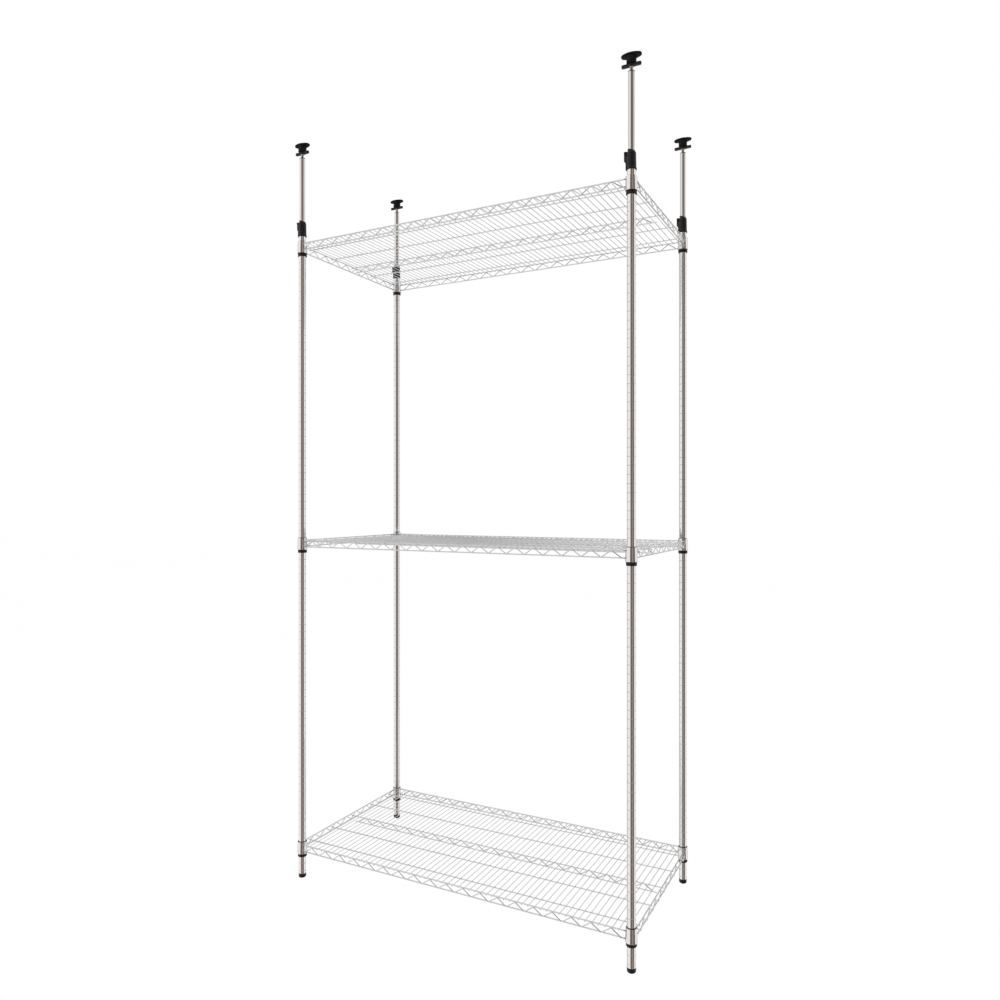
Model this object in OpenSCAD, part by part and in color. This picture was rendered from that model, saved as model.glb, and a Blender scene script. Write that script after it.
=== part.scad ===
// Floor-to-ceiling wire shelving unit, chrome plated.
// Four grooved posts carry three welded wire shelves on split sleeves and tapered collars.
// A thinner pole slides in the top of each post, and a screw jack presses its pad to the ceiling.
// The origin is on the floor midway between the posts: X is the width, Y runs back and Z is up.

/* [Posts] */
// Distance between the post axes along the width
post_span_x = 1200; // [800:10:1500]
// Distance between the post axes along the depth
post_span_y = 575; // [400:5:700]
// Outer diameter of a post
post_d = 25.4; // [24:0.1:27]
// Wall of a post
post_wall = 1.2; // [0.9:0.1:1.6]
// Distance between the ring grooves
groove_pitch = 25.4; // [24:0.1:28]
// Width of a ring groove at the surface
groove_w = 2.4; // [1.8:0.1:3.2]
// Depth of a ring groove
groove_depth = 0.6; // [0.4:0.05:0.7]
// Height of a post's upper end, counted in grooves
post_grooves = 90; // [90:1:96]

/* [Shelf levels] */
// Groove that holds the lower shelf
lower_groove = 4; // [3:1:30]
// Groove that holds the middle shelf
middle_groove = 46; // [34:1:60]
// Groove that holds the upper shelf
upper_groove = 87; // [64:1:87]

/* [Shelf wires] */
// Diameter of the wires round the shelf's edge
rail_d = 4.2; // [3.6:0.1:5]
// Diameter of the surface wires
deck_d = 2.4; // [2:0.1:3.4]
// Distance between the surface wires
deck_pitch = 20.2; // [16:0.1:26]
// Diameter of the wires that carry the surface
support_d = 3.6; // [3.2:0.1:5]
// Distance between the wires that carry the surface
support_pitch = 120.4; // [80:0.1:125]
// Diameter of the bent wire in a truss
snake_d = 3.2; // [2.4:0.1:4]
// Half a wave of the bent wire in the front, back and centre trusses
snake_half_long = 30.3; // [24:0.1:40]
// Half a wave of the bent wire in the side trusses
snake_half_side = 30.1; // [24:0.1:40]
// Radius of a bend on the bent wire's centreline
snake_bend_r = 4; // [3:0.5:6]
// Distance of the front and back rails out from the post axes
rail_out_y = 10.5; // [8:0.5:12]
// Distance of the side rails out from the post axes
rail_out_x = 9; // [8:0.5:12]
// Height of the upper rail's axis over the groove
rail_up = 15.6; // [12:0.1:18]
// Depth of the lower rail's axis under the groove
rail_down = 5.9; // [4:0.1:10]
// Depth of the centre truss's lower wire under the groove
centre_down = 10.1; // [8:0.1:14]
// Gap left at a weld between two wires
weld_gap = 0.05; // [0.03:0.01:0.1]

/* [Collars and sleeves] */
// Height of a shelf collar
collar_h = 42.3; // [38:0.1:48]
// Depth of a collar's lower edge under the groove
collar_drop = 17.9; // [16:0.1:22]
// Outer diameter of a collar at its lower edge
collar_d_low = 35; // [34:0.1:38]
// Outer diameter of a collar at its upper edge
collar_d_top = 32.4; // [31:0.1:34]
// Wall of a collar
collar_wall = 1.4; // [1:0.1:1.8]
// Height of the sleeve's lip below the collar
lip_h = 8.4; // [6:0.1:11]
// Outer diameter of the sleeve's lip
lip_d = 30.8; // [30:0.1:33]
// Height of the sleeve above the collar
sleeve_rise = 0.5; // [0.5:0.1:3]
// Gap between the two halves of a sleeve
split_gap = 1.6; // [1:0.1:3]
// Gap between a sleeve and its post or collar
sleeve_gap = 0.05; // [0.03:0.01:0.1]

/* [Feet] */
// Height of a foot below the post
foot_h = 15; // [10:0.5:18]
// Outer diameter of a foot
foot_d = 25.8; // [25.4:0.1:30]
// Bevel round the bottom of a foot
foot_bevel = 3; // [1:0.5:5]
// Length of a foot's plug inside the post
foot_plug_h = 22; // [14:1:40]

/* [Joint clamps] */
// Height of a clamp's housing over the post and the pole
clamp_h = 51.5; // [46:0.5:60]
// Length of post that a clamp covers
clamp_grip = 34; // [30:0.5:38]
// Outer diameter of a clamp at its lower lip
clamp_lip_d = 30; // [29:0.5:34]
// Outer diameter of a clamp's body
clamp_d = 26; // [25.5:0.5:28]
// Height of the raised tongue on the lever's side of a clamp
clamp_tongue_h = 8; // [5:0.5:11]
// Width of a clamp lever
lever_w = 10; // [8:0.5:12]
// Length of a clamp lever below its pin
lever_len = 24; // [20:0.5:32]
// Thickness of a clamp lever
lever_t = 5.7; // [4.5:0.1:7]
// Diameter of a clamp lever's pin
lever_pin_d = 3; // [2.4:0.1:3.4]
// Width of the straight block under a clamp lever
block_w = 14; // [10:0.5:18]

/* [Upper poles] */
// Outer diameter of an upper pole
pole_d = 19.1; // [17:0.1:19.5]
// Wall of an upper pole
pole_wall = 1; // [0.8:0.1:1.4]
// Height of the pole's upper end over the post's
pole_reach = 241; // [232:1:340]
// Length of pole inside the post
pole_overlap = 230; // [215:1:400]
// Length of the guide bush below the pole
guide_h = 16; // [10:0.5:30]

/* [Jacks and ceiling pads] */
// Diameter of the jack's threaded rod
rod_d = 10; // [7:0.5:10]
// Length of rod below the pole nut's flange
rod_inside = 49; // [45:0.5:60]
// Length of rod that shows between the pole nut and the wing handle
rod_show = 14; // [10.5:0.5:20]
// Length of a pole nut inside the pole
nut_h = 20; // [12:0.5:22]
// Thickness of a pole nut's flange
nut_flange_h = 2; // [1.5:0.1:4]
// Length of a wing handle
wing_len = 58; // [50:0.5:75]
// Width of a wing handle's arms
wing_w = 10; // [8:0.5:13]
// Height of a wing handle
wing_h = 8; // [6:0.5:14]
// Diameter of a wing handle's hub
hub_d = 16; // [14:0.5:26]
// Length of a ceiling pad along the width of the unit
pad_len = 59.5; // [52:0.5:66]
// Width of a ceiling pad
pad_w = 34; // [32:0.5:40]
// Thickness of a ceiling pad's plate with the step under it
pad_t = 5; // [4:0.5:8]
// Diameter of the neck under a ceiling pad's plate
neck_d = 28.6; // [26:0.1:30]
// Height of the neck under a ceiling pad's plate
neck_h = 20; // [15:0.5:24]
// Length of rod inside a ceiling pad's neck
spigot_h = 12; // [8:0.5:13]

/* [Hidden] */
CORNERS = ["front_left", "front_right", "back_left", "back_right"];
LEVELS = ["lower", "middle", "upper"];
SIDES = ["front", "back", "left", "right"];
$fn = 40;

// Clearances of the sliding and turning fits, on the radius
run_gap = 0.05;
slide_gap = 0.08;
thread_gap = 0.08;
// Clearance at the end of a blind hole
end_gap = 0.3;

// Places of the posts and the shelves
post_x = post_span_x / 2;
post_y = post_span_y / 2;
corner_at = [[-post_x, -post_y], [post_x, -post_y], [-post_x, post_y], [post_x, post_y]];
level_z = [lower_groove * groove_pitch, middle_groove * groove_pitch, upper_groove * groove_pitch];

// Posts
post_r = post_d / 2;
bore_r = post_r - post_wall;
post_top = post_grooves * groove_pitch;
groove_first = ceil((foot_h + groove_w) / groove_pitch);
groove_last = floor((post_top - groove_w) / groove_pitch);

// Collars and sleeves, measured from the groove
collar_low = -collar_drop;
collar_top = collar_low + collar_h;
collar_r_low = collar_d_low / 2;
collar_r_top = collar_d_top / 2;
cone_slope = (collar_r_low - collar_r_top) / collar_h;
sleeve_r = post_r + sleeve_gap;
bead_h = groove_depth - sleeve_gap;
bead_half = groove_w / 2 - 2 * sleeve_gap;
edge = 0.4;

// Wire layers, measured from the groove
rail_r = rail_d / 2;
deck_r = deck_d / 2;
support_r = support_d / 2;
snake_r = snake_d / 2;
deck_up = rail_up - rail_r - deck_r - weld_gap;
support_up = deck_up - deck_r - support_r - weld_gap;
rail_y = post_y + rail_out_y;
rail_x = post_x + rail_out_x;
// A bend is a hair thicker than the straight wire and laps over its end
bend_swell = 0.04;
bend_lap = 0.3;
snake_out = rail_r + snake_r + bend_swell / 2 + weld_gap;
// The bent wire stops short of the rails' axes by this much
snake_inset = 1.2;
// Depth to which a rail's end reaches into a collar before it is coped
cope_depth = 9;
deck_side_count = floor((post_x - deck_d) / deck_pitch);
support_side_count = floor((post_y - collar_r_low) / support_pitch);

// Feet
plug_r = bore_r - run_gap;
plug_wall = 2;
barb_pitch = 5;
barb_bite = 0.5;

// Joint clamps, measured from the clamp's lower face and the post's axis
clamp_z = post_top - clamp_grip;
clamp_bore_low = post_r + run_gap;
pole_r = pole_d / 2;
clamp_bore_top = pole_r + run_gap;
clamp_r = clamp_d / 2;
clamp_lip_r = clamp_lip_d / 2;
throat_r = clamp_bore_top + 1.3;
shoulder_h = 3.5;
lever_gap = 0.1;
pivot_r = 3.3;
pivot_x = -(clamp_r + pivot_r + lever_gap);
pivot_z = clamp_h - pivot_r;
ear_t = 2.4;
ear_gap = 0.15;
ear_r = pivot_r + 0.6;
ear_in = lever_w / 2 + ear_gap;
cam_w = 7;
cam_gap = 0.2;
cam_reach = -pivot_x - clamp_bore_top - cam_gap;
lever_back = pivot_r + lever_gap - 1.7;
block_out = clamp_lip_r + 0.3;
block_low = 0.5;
block_gap = 1.2;

// Upper poles
pole_low = post_top - pole_overlap;
pole_top = post_top + pole_reach;
pole_bore_r = pole_r - pole_wall;
guide_r = bore_r - slide_gap;
guide_spigot_h = 18;
guide_bore_r = 5;
nut_r = pole_bore_r - run_gap;
nut_flange_r = pole_r + 0.3;

// Jacks and ceiling pads
rod_r = rod_d / 2;
nut_top = pole_top + nut_flange_h;
wing_z = nut_top + rod_show;
pad_z = wing_z + wing_h;
rod_low = nut_top - rod_inside;
rod_top = pad_z + spigot_h;
wing_r = wing_len / 2;
wing_round = 2.2;
neck_r = neck_d / 2;
step_h = 1;
step_inset = 3.4;
pad_bevel = 0.4;
pad_groove_w = 1;
pad_groove_depth = 0.6;
pad_groove_pitch = 6;
// The oval pad: side arcs that meet a slightly smaller end arc, and the end arc itself
pad_end_near = pad_w * 0.353;
pad_end_r = pad_w * 0.382;
pad_side_r = (pow(pad_len / 2 - pad_end_near, 2) + pow(pad_w / 2, 2) - pow(pad_end_near, 2))
    / (pad_w - 2 * pad_end_near);
pad_meet_x = (pad_len / 2 - pad_end_near) * (1 + pad_end_near / (pad_side_r - pad_end_near));

CHROME = [0.78, 0.78, 0.79];
WIRE = [0.72, 0.72, 0.73];
STEEL = [0.62, 0.61, 0.6];
BLACK = [0.07, 0.07, 0.075];

module at_corner(i) {
    translate([corner_at[i][0], corner_at[i][1], 0]) children();
}

// Radius of a collar's outer cone at a height over the groove
function cone_r(z) = collar_r_low - (z - collar_low) * cone_slope;

// One ring groove in the outline of a post
function groove_outline(z) = [
    [post_r, z - groove_w / 2],
    [post_r - groove_depth, z - groove_w / 2 + groove_depth],
    [post_r - groove_depth, z + groove_w / 2 - groove_depth],
    [post_r, z + groove_w / 2]];

// Tube with a ring groove at every pitch
module post() {
    color(CHROME)
        rotate_extrude()
            polygon(concat(
                [[bore_r, foot_h], [post_r, foot_h]],
                [for (k = [groove_first : groove_last]) each groove_outline(k * groove_pitch)],
                [[post_r, post_top], [bore_r, post_top]]));
}

// Cap with a hollow barbed plug that goes up into the post
module foot() {
    foot_r = foot_d / 2;
    plug_top = foot_h + foot_plug_h;
    barbs = floor((foot_plug_h - 4) / barb_pitch);
    rotate_extrude()
        polygon(concat(
            [[0, 0], [foot_r - foot_bevel, 0], [foot_r - foot_bevel * 0.3, foot_bevel * 0.45],
             [foot_r, foot_bevel], [foot_r, foot_h]],
            [for (b = [0 : barbs - 1]) each [
                [plug_r - barb_bite, foot_h + b * barb_pitch],
                [plug_r - barb_bite, foot_h + 1 + b * barb_pitch],
                [plug_r, foot_h + 2 + b * barb_pitch]]],
            [[plug_r - barb_bite, foot_h + barbs * barb_pitch], [plug_r - barb_bite, plug_top - 1],
             [plug_r - barb_bite - 1, plug_top], [plug_r - barb_bite - plug_wall, plug_top],
             [plug_r - barb_bite - plug_wall, foot_h / 2], [0, foot_h / 2]]));
}

module feet() {
    color(BLACK)
        for (i = [0 : 3]) at_corner(i) foot();
}

// Half of a split sleeve: a bead inside for the groove, a taper outside for the collar
module half_sleeve() {
    half_turn = 180 - 2 * asin(split_gap / 2 / sleeve_r);
    seat_low = collar_r_low - collar_wall - sleeve_gap;
    seat_top = collar_r_top - collar_wall - sleeve_gap;
    top = collar_top + sleeve_rise;
    lip_low = collar_low - lip_h;
    rotate([0, 0, 90 - half_turn / 2])
        rotate_extrude(angle = half_turn)
            polygon([
                [sleeve_r, lip_low], [lip_d / 2 - 1.2, lip_low], [lip_d / 2 - 0.3, lip_low + 1.3],
                [lip_d / 2, lip_low + 3], [lip_d / 2, collar_low], [seat_low, collar_low],
                [seat_top, collar_top], [seat_top, top - edge], [seat_top - edge, top], [sleeve_r, top],
                [sleeve_r, bead_half], [sleeve_r - bead_h, bead_half - bead_h],
                [sleeve_r - bead_h, bead_h - bead_half], [sleeve_r, -bead_half]]);
}

module split_sleeves() {
    color(BLACK)
        for (z = level_z, i = [0 : 3], turn = [0, 180])
            at_corner(i) translate([0, 0, z]) rotate([0, 0, turn]) half_sleeve();
}

// Tapered ring that is welded to the shelf's corners
module collar() {
    rotate_extrude()
        polygon([
            [collar_r_low - collar_wall, collar_low], [collar_r_low - edge, collar_low],
            [collar_r_low - edge * cone_slope, collar_low + edge],
            [cone_r(collar_top - edge), collar_top - edge],
            [collar_r_top - edge, collar_top], [collar_r_top - collar_wall, collar_top]]);
}

module shelf_collars(level) {
    color(CHROME)
        for (i = [0 : 3]) at_corner(i) translate([0, 0, level_z[level]]) collar();
}

// Solid cone a weld's gap larger than the collar, which copes the wires that meet it
module collar_cope() {
    translate([0, 0, collar_low])
        cylinder(r1 = collar_r_low + weld_gap, r2 = collar_r_top + weld_gap, h = collar_h);
}

module wire_x(x0, x1, d) {
    translate([x0, 0, 0]) rotate([0, 90, 0]) cylinder(d = d, h = x1 - x0);
}

module wire_y(y0, y1, d) {
    translate([0, y0, 0]) rotate([-90, 0, 0]) cylinder(d = d, h = y1 - y0);
}

// Bent wire along X, waves high at count half waves on each side of the middle.
// low and high are the heights of its lowest and highest points on the centreline.
// first_up is true where the middle bend is a high one.
module snake(count, half, low, high, first_up) {
    steep = atan2(high - low, half);
    rise = high - low + 2 * snake_bend_r * (1 / cos(steep) - 1);
    slope = atan2(rise, half);
    cut = snake_bend_r * tan(slope) - bend_lap;
    run = sqrt(half * half + rise * rise);
    middle = (low + high) / 2;
    for (k = [-count : count - 1]) {
        up = (abs(k) % 2 == 0) == first_up;
        start = k == -count ? 0 : cut;
        finish = k == count - 1 ? 0 : cut;
        translate([k * half, 0, middle + (up ? rise / 2 : -rise / 2)])
            rotate([0, up ? 90 + slope : 90 - slope, 0])
                translate([0, 0, start]) cylinder(d = snake_d, h = run - start - finish);
    }
    for (k = [1 - count : count - 1]) {
        up = (abs(k) % 2 == 0) == first_up;
        translate([k * half, 0, middle])
            mirror([0, 0, up ? 0 : 1])
                translate([0, 0, rise / 2 - snake_bend_r / cos(slope)])
                    rotate([90, 0, 0]) rotate([0, 0, 90 - slope])
                        rotate_extrude(angle = 2 * slope)
                            translate([snake_bend_r, 0]) circle(d = snake_d + bend_swell);
    }
}

// Truss along X at the front of a shelf: two rails coped at the collars and a bent wire outside them.
// span is the distance between its posts, out is how far its rails stand out from their axes.
module edge_truss(span, out, half, first_up) {
    end = span / 2;
    clear = cone_r(0) + weld_gap;
    reach = sqrt(pow(clear, 2) - pow(min(out + snake_out - snake_r, clear), 2)) + snake_d;
    count = floor((end - reach) / half);
    for (z = [rail_up, -rail_down])
        difference() {
            translate([0, -out, z]) wire_x(cope_depth - end, end - cope_depth, rail_d);
            for (side = [-1, 1]) translate([side * end, 0, 0]) collar_cope();
        }
    translate([0, -out - snake_out, 0])
        snake(count, half, snake_inset - rail_down, rail_up - snake_inset, first_up);
}

module shelf_side_truss(level, side) {
    long = side < 2;
    turn = [0, 180, -90, 90][side];
    color(WIRE)
        translate([0, 0, level_z[level]])
            rotate([0, 0, turn])
                translate([0, long ? -post_y : -post_x, 0])
                    edge_truss(long ? post_span_x : post_span_y, long ? rail_out_y : rail_out_x,
                               long ? snake_half_long : snake_half_side, long);
}

// Truss that stiffens the middle support wire: a lower wire and a bent wire beside the two
module shelf_centre_truss(level) {
    end = post_x - snake_d * 3;
    count = floor((post_x - collar_r_low) / snake_half_long);
    color(WIRE)
        translate([0, 0, level_z[level]]) {
            translate([0, 0, -centre_down]) wire_x(-end, end, support_d);
            translate([0, support_r + snake_out - rail_r, 0])
                snake(count, snake_half_long, snake_inset - centre_down, support_up - snake_inset, true);
        }
}

// Half length of the surface wire at x: it ends at the rail's outside, or before a collar
function deck_half_len(x) =
    let (beside = post_x - abs(x) - deck_r, clear = cone_r(deck_up - deck_r) + 2 * weld_gap)
    beside > clear ? rail_y + rail_r : post_y - sqrt(pow(clear, 2) - pow(beside, 2));

module shelf_deck(level) {
    color(WIRE)
        translate([0, 0, level_z[level]]) {
            for (k = [-deck_side_count : deck_side_count]) {
                half_len = deck_half_len(k * deck_pitch);
                translate([k * deck_pitch, 0, deck_up]) wire_y(-half_len, half_len, deck_d);
            }
            for (k = [-support_side_count : support_side_count])
                translate([0, k * support_pitch, support_up])
                    wire_x(-rail_x - rail_r, rail_x + rail_r, support_d);
        }
}

// Clamp housing: a moulded sleeve over the post's end with a window for the lever's cam
module joint_clamp() {
    tongue_top = clamp_h + clamp_tongue_h;
    tongue_low = 1;
    tilt = atan2(clamp_tongue_h - tongue_low, 2 * throat_r);
    color(BLACK)
        translate([0, 0, clamp_z])
            difference() {
                union() {
                    rotate_extrude()
                        polygon([
                            [clamp_bore_top, 0], [clamp_lip_r - edge, 0], [clamp_lip_r, edge],
                            [clamp_lip_r, 3], [clamp_r + 0.8, 7], [clamp_r + 0.5, 24],
                            [clamp_r + 0.2, 24.8], [clamp_r + 0.2, 26], [clamp_r + 0.4, 26.8],
                            [clamp_r, clamp_h - shoulder_h], [throat_r, clamp_h],
                            [throat_r, tongue_top], [clamp_bore_top, tongue_top]]);
                    clamp_block();
                    for (side = [-1, 1]) translate([0, side * (ear_in + ear_t / 2), 0]) clamp_ear();
                }
                translate([0, 0, -1]) cylinder(r = clamp_bore_low, h = clamp_grip + 1);
                translate([throat_r, 0, clamp_h + tongue_low])
                    rotate([0, tilt, 0])
                        translate([-4 * throat_r, -2 * throat_r, 0])
                            cube([6 * throat_r, 4 * throat_r, 2 * clamp_tongue_h]);
                translate([pivot_x, -cam_w / 2 - 0.5, pivot_z - cam_reach - 0.6])
                    cube([cam_reach + 2, cam_w + 1, cam_reach + 3.2]);
                translate([pivot_x, 0, pivot_z])
                    rotate([90, 0, 0])
                        cylinder(d = lever_pin_d + 2 * run_gap, h = 4 * lever_w, center = true);
            }
}

// Straight block under the lever, a hair prouder than the lip
module clamp_block() {
    top = pivot_z - lever_len - block_gap;
    rotate([90, 0, 0])
        linear_extrude(block_w, center = true)
            polygon([
                [-clamp_r * 0.78, block_low], [-block_out, block_low], [-block_out, top - 2],
                [2 - block_out, top], [-clamp_r * 0.78, top]]);
}

// Ear that holds one end of the lever's pin
module clamp_ear() {
    rotate([90, 0, 0])
        linear_extrude(ear_t, center = true)
            union() {
                translate([pivot_x, pivot_z]) circle(r = ear_r);
                polygon([
                    [pivot_x, pivot_z - ear_r], [pivot_x, pivot_z + ear_r * 0.9],
                    [-clamp_r * 0.78, pivot_z + 2], [-clamp_r * 0.78, pivot_z - ear_r - 4]]);
            }
}

// Lever with its pin and the cam that presses on the pole while the lever hangs down
module clamp_lever() {
    back = lever_back;
    front = lever_back - lever_t;
    color(BLACK)
        translate([pivot_x, 0, clamp_z + pivot_z]) {
            rotate([90, 0, 0]) {
                linear_extrude(lever_w, center = true)
                    union() {
                        circle(r = pivot_r);
                        polygon([
                            [-pivot_r * 0.72, pivot_r * 0.66], [front, -1.5], [front, 3 - lever_len],
                            [front + 1.2, -lever_len], [back - 1, -lever_len], [back, 2 - lever_len],
                            [back, -2]]);
                    }
                linear_extrude(cam_w, center = true)
                    polygon([
                        [0, -2.6], [cam_reach - 1.2, -2.2], [cam_reach, -0.8], [cam_reach, 0.8],
                        [cam_reach - 1.2, 2], [0, 2.6]]);
                cylinder(d = lever_pin_d, h = 2 * (ear_in + ear_t), center = true);
            }
        }
}

module upper_pole() {
    color(CHROME)
        translate([0, 0, pole_low])
            difference() {
                cylinder(r = pole_r, h = pole_top - pole_low);
                translate([0, 0, -1]) cylinder(r = pole_bore_r, h = pole_top - pole_low + 2);
            }
}

// Bush on the pole's lower end that runs in the post's bore
module pole_guide() {
    spigot_r = pole_bore_r - run_gap;
    color(BLACK)
        translate([0, 0, pole_low])
            rotate_extrude()
                polygon([
                    [guide_bore_r, -guide_h], [guide_r - 1, -guide_h], [guide_r, 1.5 - guide_h],
                    [guide_r, -1], [guide_r - 1, 0], [spigot_r, 0], [spigot_r, guide_spigot_h - 2],
                    [spigot_r - 1, guide_spigot_h], [guide_bore_r, guide_spigot_h]]);
}

// Threaded plug that closes the pole's upper end
module pole_nut() {
    color(BLACK)
        translate([0, 0, pole_top])
            rotate_extrude()
                polygon([
                    [rod_r + thread_gap, -nut_h], [nut_r - 0.6, -nut_h], [nut_r, 0.8 - nut_h],
                    [nut_r, 0], [nut_flange_r, 0], [nut_flange_r, nut_flange_h - 0.6],
                    [nut_flange_r - 0.6, nut_flange_h], [rod_r + thread_gap, nut_flange_h]]);
}

// Jack screw at its outer diameter: its lower end runs in the nut, its upper end in the ceiling pad
module jack_rod() {
    color(STEEL)
        rotate_extrude()
            polygon([
                [0, rod_low], [rod_r - 0.8, rod_low], [rod_r, rod_low + 0.8],
                [rod_r, rod_top - 1], [rod_r - 1, rod_top], [0, rod_top]]);
}

// Outline of the wing handle seen from above
module wing_outline() {
    arm = wing_r - wing_w / 2;
    square([2 * arm, wing_w], center = true);
    for (side = [-1, 1]) translate([side * arm, 0]) circle(d = wing_w);
}

// Wing handle that is cast on the rod, with a hub that carries the pad's neck
module wing_handle() {
    hub_r = hub_d / 2;
    color(BLACK)
        translate([0, 0, wing_z])
            difference() {
                union() {
                    intersection() {
                        linear_extrude(wing_h) wing_outline();
                        rotate_extrude()
                            polygon([
                                [0, 0], [wing_r - wing_round, 0],
                                [wing_r - 0.3 * wing_round, 0.3 * wing_round],
                                [wing_r + 0.1, wing_round], [wing_r + 0.1, wing_h - wing_round],
                                [wing_r - 0.3 * wing_round, wing_h - 0.3 * wing_round],
                                [wing_r - wing_round, wing_h], [0, wing_h]]);
                    }
                    rotate_extrude()
                        polygon([
                            [0, 0], [hub_r - 1, 0], [hub_r, 1], [hub_r, wing_h], [0, wing_h]]);
                }
                translate([0, 0, -1]) cylinder(r = rod_r + run_gap, h = wing_h + 2);
            }
}

// Oval outline of the ceiling pad, smaller all round by the inset
module pad_outline(inset) {
    intersection() {
        translate([0, pad_side_r - pad_w / 2]) circle(r = pad_side_r - inset);
        translate([0, pad_w / 2 - pad_side_r]) circle(r = pad_side_r - inset);
        union() {
            square([2 * pad_meet_x, 2 * pad_w], center = true);
            for (side = [-1, 1])
                translate([side * (pad_len / 2 - pad_end_r), 0]) circle(r = pad_end_r - inset);
        }
    }
}

// Oval pad with grooves across its top, whose neck turns on the end of the rod
module ceiling_pad() {
    top = neck_h + pad_t;
    plate_z = neck_h + step_h;
    hole_r = rod_r + slide_gap;
    hole_h = spigot_h + end_gap;
    side_grooves = floor((pad_len / 2 - pad_end_r / 2) / pad_groove_pitch + 0.5);
    color(BLACK)
        translate([0, 0, pad_z])
            difference() {
                union() {
                    rotate_extrude()
                        polygon([
                            [hole_r, 0], [neck_r - 0.8, 0], [neck_r, 0.8], [neck_r - 0.3, neck_h / 2],
                            [neck_r + 0.2, neck_h], [neck_r + 0.2, plate_z + 1], [0, plate_z + 1],
                            [0, hole_h], [hole_r, hole_h]]);
                    translate([0, 0, neck_h]) linear_extrude(step_h + 1) pad_outline(step_inset);
                    translate([0, 0, plate_z]) linear_extrude(top - plate_z) pad_outline(pad_bevel);
                    translate([0, 0, plate_z + pad_bevel])
                        linear_extrude(top - plate_z - 2 * pad_bevel) pad_outline(0);
                }
                for (side = [-1, 1], k = [1 : side_grooves])
                    translate([side * (k - 0.5) * pad_groove_pitch - pad_groove_w / 2, -pad_w,
                               top - pad_groove_depth])
                        cube([pad_groove_w, 2 * pad_w, 1]);
            }
}

for (i = [0 : 3]) {
    corner = CORNERS[i];
    at_corner(i) post();
    at_corner(i) joint_clamp();
    at_corner(i) clamp_lever();
    at_corner(i) upper_pole();
    at_corner(i) pole_guide();
    at_corner(i) pole_nut();
    at_corner(i) jack_rod();
    at_corner(i) wing_handle();
    at_corner(i) ceiling_pad();
}
for (l = [0 : 2]) {
    shelf = str(LEVELS[l], "_shelf_");
    shelf_deck(l);
    shelf_centre_truss(l);
    shelf_collars(l);
    for (s = [0 : 3])
        shelf_side_truss(l, s);
}
split_sleeves();
feet();
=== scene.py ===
"""Dresses a floor-to-ceiling chrome wire shelving unit.

Every shape is worked out in millimetres as whole numpy arrays and is stored in metres, in the frame
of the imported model: X is the width, Y runs from the front to the back and Z is up from the floor.
"""

import logging
import math
from dataclasses import dataclass, field
from enum import Enum
from typing import Iterable, Sequence

import bpy
import numpy as np
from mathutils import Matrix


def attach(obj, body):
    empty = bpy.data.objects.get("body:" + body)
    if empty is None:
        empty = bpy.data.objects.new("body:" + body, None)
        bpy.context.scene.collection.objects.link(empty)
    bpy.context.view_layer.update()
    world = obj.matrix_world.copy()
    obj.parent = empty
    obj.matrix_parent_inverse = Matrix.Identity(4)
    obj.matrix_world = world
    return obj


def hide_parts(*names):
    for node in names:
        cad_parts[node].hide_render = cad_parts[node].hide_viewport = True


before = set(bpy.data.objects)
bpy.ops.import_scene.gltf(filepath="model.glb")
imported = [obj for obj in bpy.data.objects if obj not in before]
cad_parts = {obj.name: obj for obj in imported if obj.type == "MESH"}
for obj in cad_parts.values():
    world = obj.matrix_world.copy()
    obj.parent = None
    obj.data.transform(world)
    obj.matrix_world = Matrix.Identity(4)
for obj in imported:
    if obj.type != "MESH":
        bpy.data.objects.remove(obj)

Array = np.ndarray
Triple = tuple[float, float, float]
Colour = Triple

MM = 0.001
LOG = logging.getLogger("shelving")


class Corner(Enum):
    """The four posts, by the signs of their X and Y."""

    FRONT_LEFT = (-1, -1)
    FRONT_RIGHT = (1, -1)
    BACK_LEFT = (-1, 1)
    BACK_RIGHT = (1, 1)

    @property
    def label(self) -> str:
        """Name of the corner in node and body names."""
        return self.name.lower()


class Level(Enum):
    """The three shelves, by the post groove that carries them."""

    LOWER = 4
    MIDDLE = 46
    UPPER = 87

    @property
    def label(self) -> str:
        """Name of the shelf in node names."""
        return self.name.lower()


class Side(Enum):
    """The four edges of a shelf, by the quarter turns that bring the front edge there."""

    FRONT = 0
    BACK = 2
    LEFT = 3
    RIGHT = 1

    @property
    def label(self) -> str:
        """Name of the edge in node names."""
        return self.name.lower()

    @property
    def is_long(self) -> bool:
        """True for the front and back edges."""
        return self in (Side.FRONT, Side.BACK)


@dataclass(frozen=True)
class Layout:
    """Places that the posts, the shelves and the poles share, in millimetres."""

    half_x: float = 600.0
    half_y: float = 287.5
    pitch: float = 25.4
    post_r: float = 12.7
    post_top: float = 2286.0
    foot_h: float = 15.0
    clamp_z: float = 2252.0
    pole_r: float = 9.55
    pole_low: float = 2056.0
    pole_top: float = 2527.0
    rod_r: float = 5.0
    rod_gap: float = 0.08
    fit: float = 0.05
    wing_z: float = 2543.0
    pad_z: float = 2551.0

    def axis(self, corner: Corner) -> Array:
        """Foot of a post's axis."""
        return np.array([corner.value[0] * self.half_x, corner.value[1] * self.half_y, 0.0])

    def axes(self) -> Array:
        """Feet of the four posts' axes."""
        return np.array([self.axis(corner) for corner in Corner])

    def shelf_z(self, level: Level) -> float:
        """Height of the groove that carries a shelf."""
        return level.value * self.pitch

    def lift(self, level: Level) -> Array:
        """Step up to the groove that carries a shelf."""
        return np.array([0.0, 0.0, self.shelf_z(level)])


LAYOUT = Layout()


# Surfaces: every function gives grids of points, rows by columns, that wrap round their columns.

# Rounded corners: the most of a side that an arc takes, and how far out the points beside it stand.
ARC_SHARE, BESIDE_REACH, BESIDE_SHARE = 0.38, 1.6, 0.46
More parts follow.
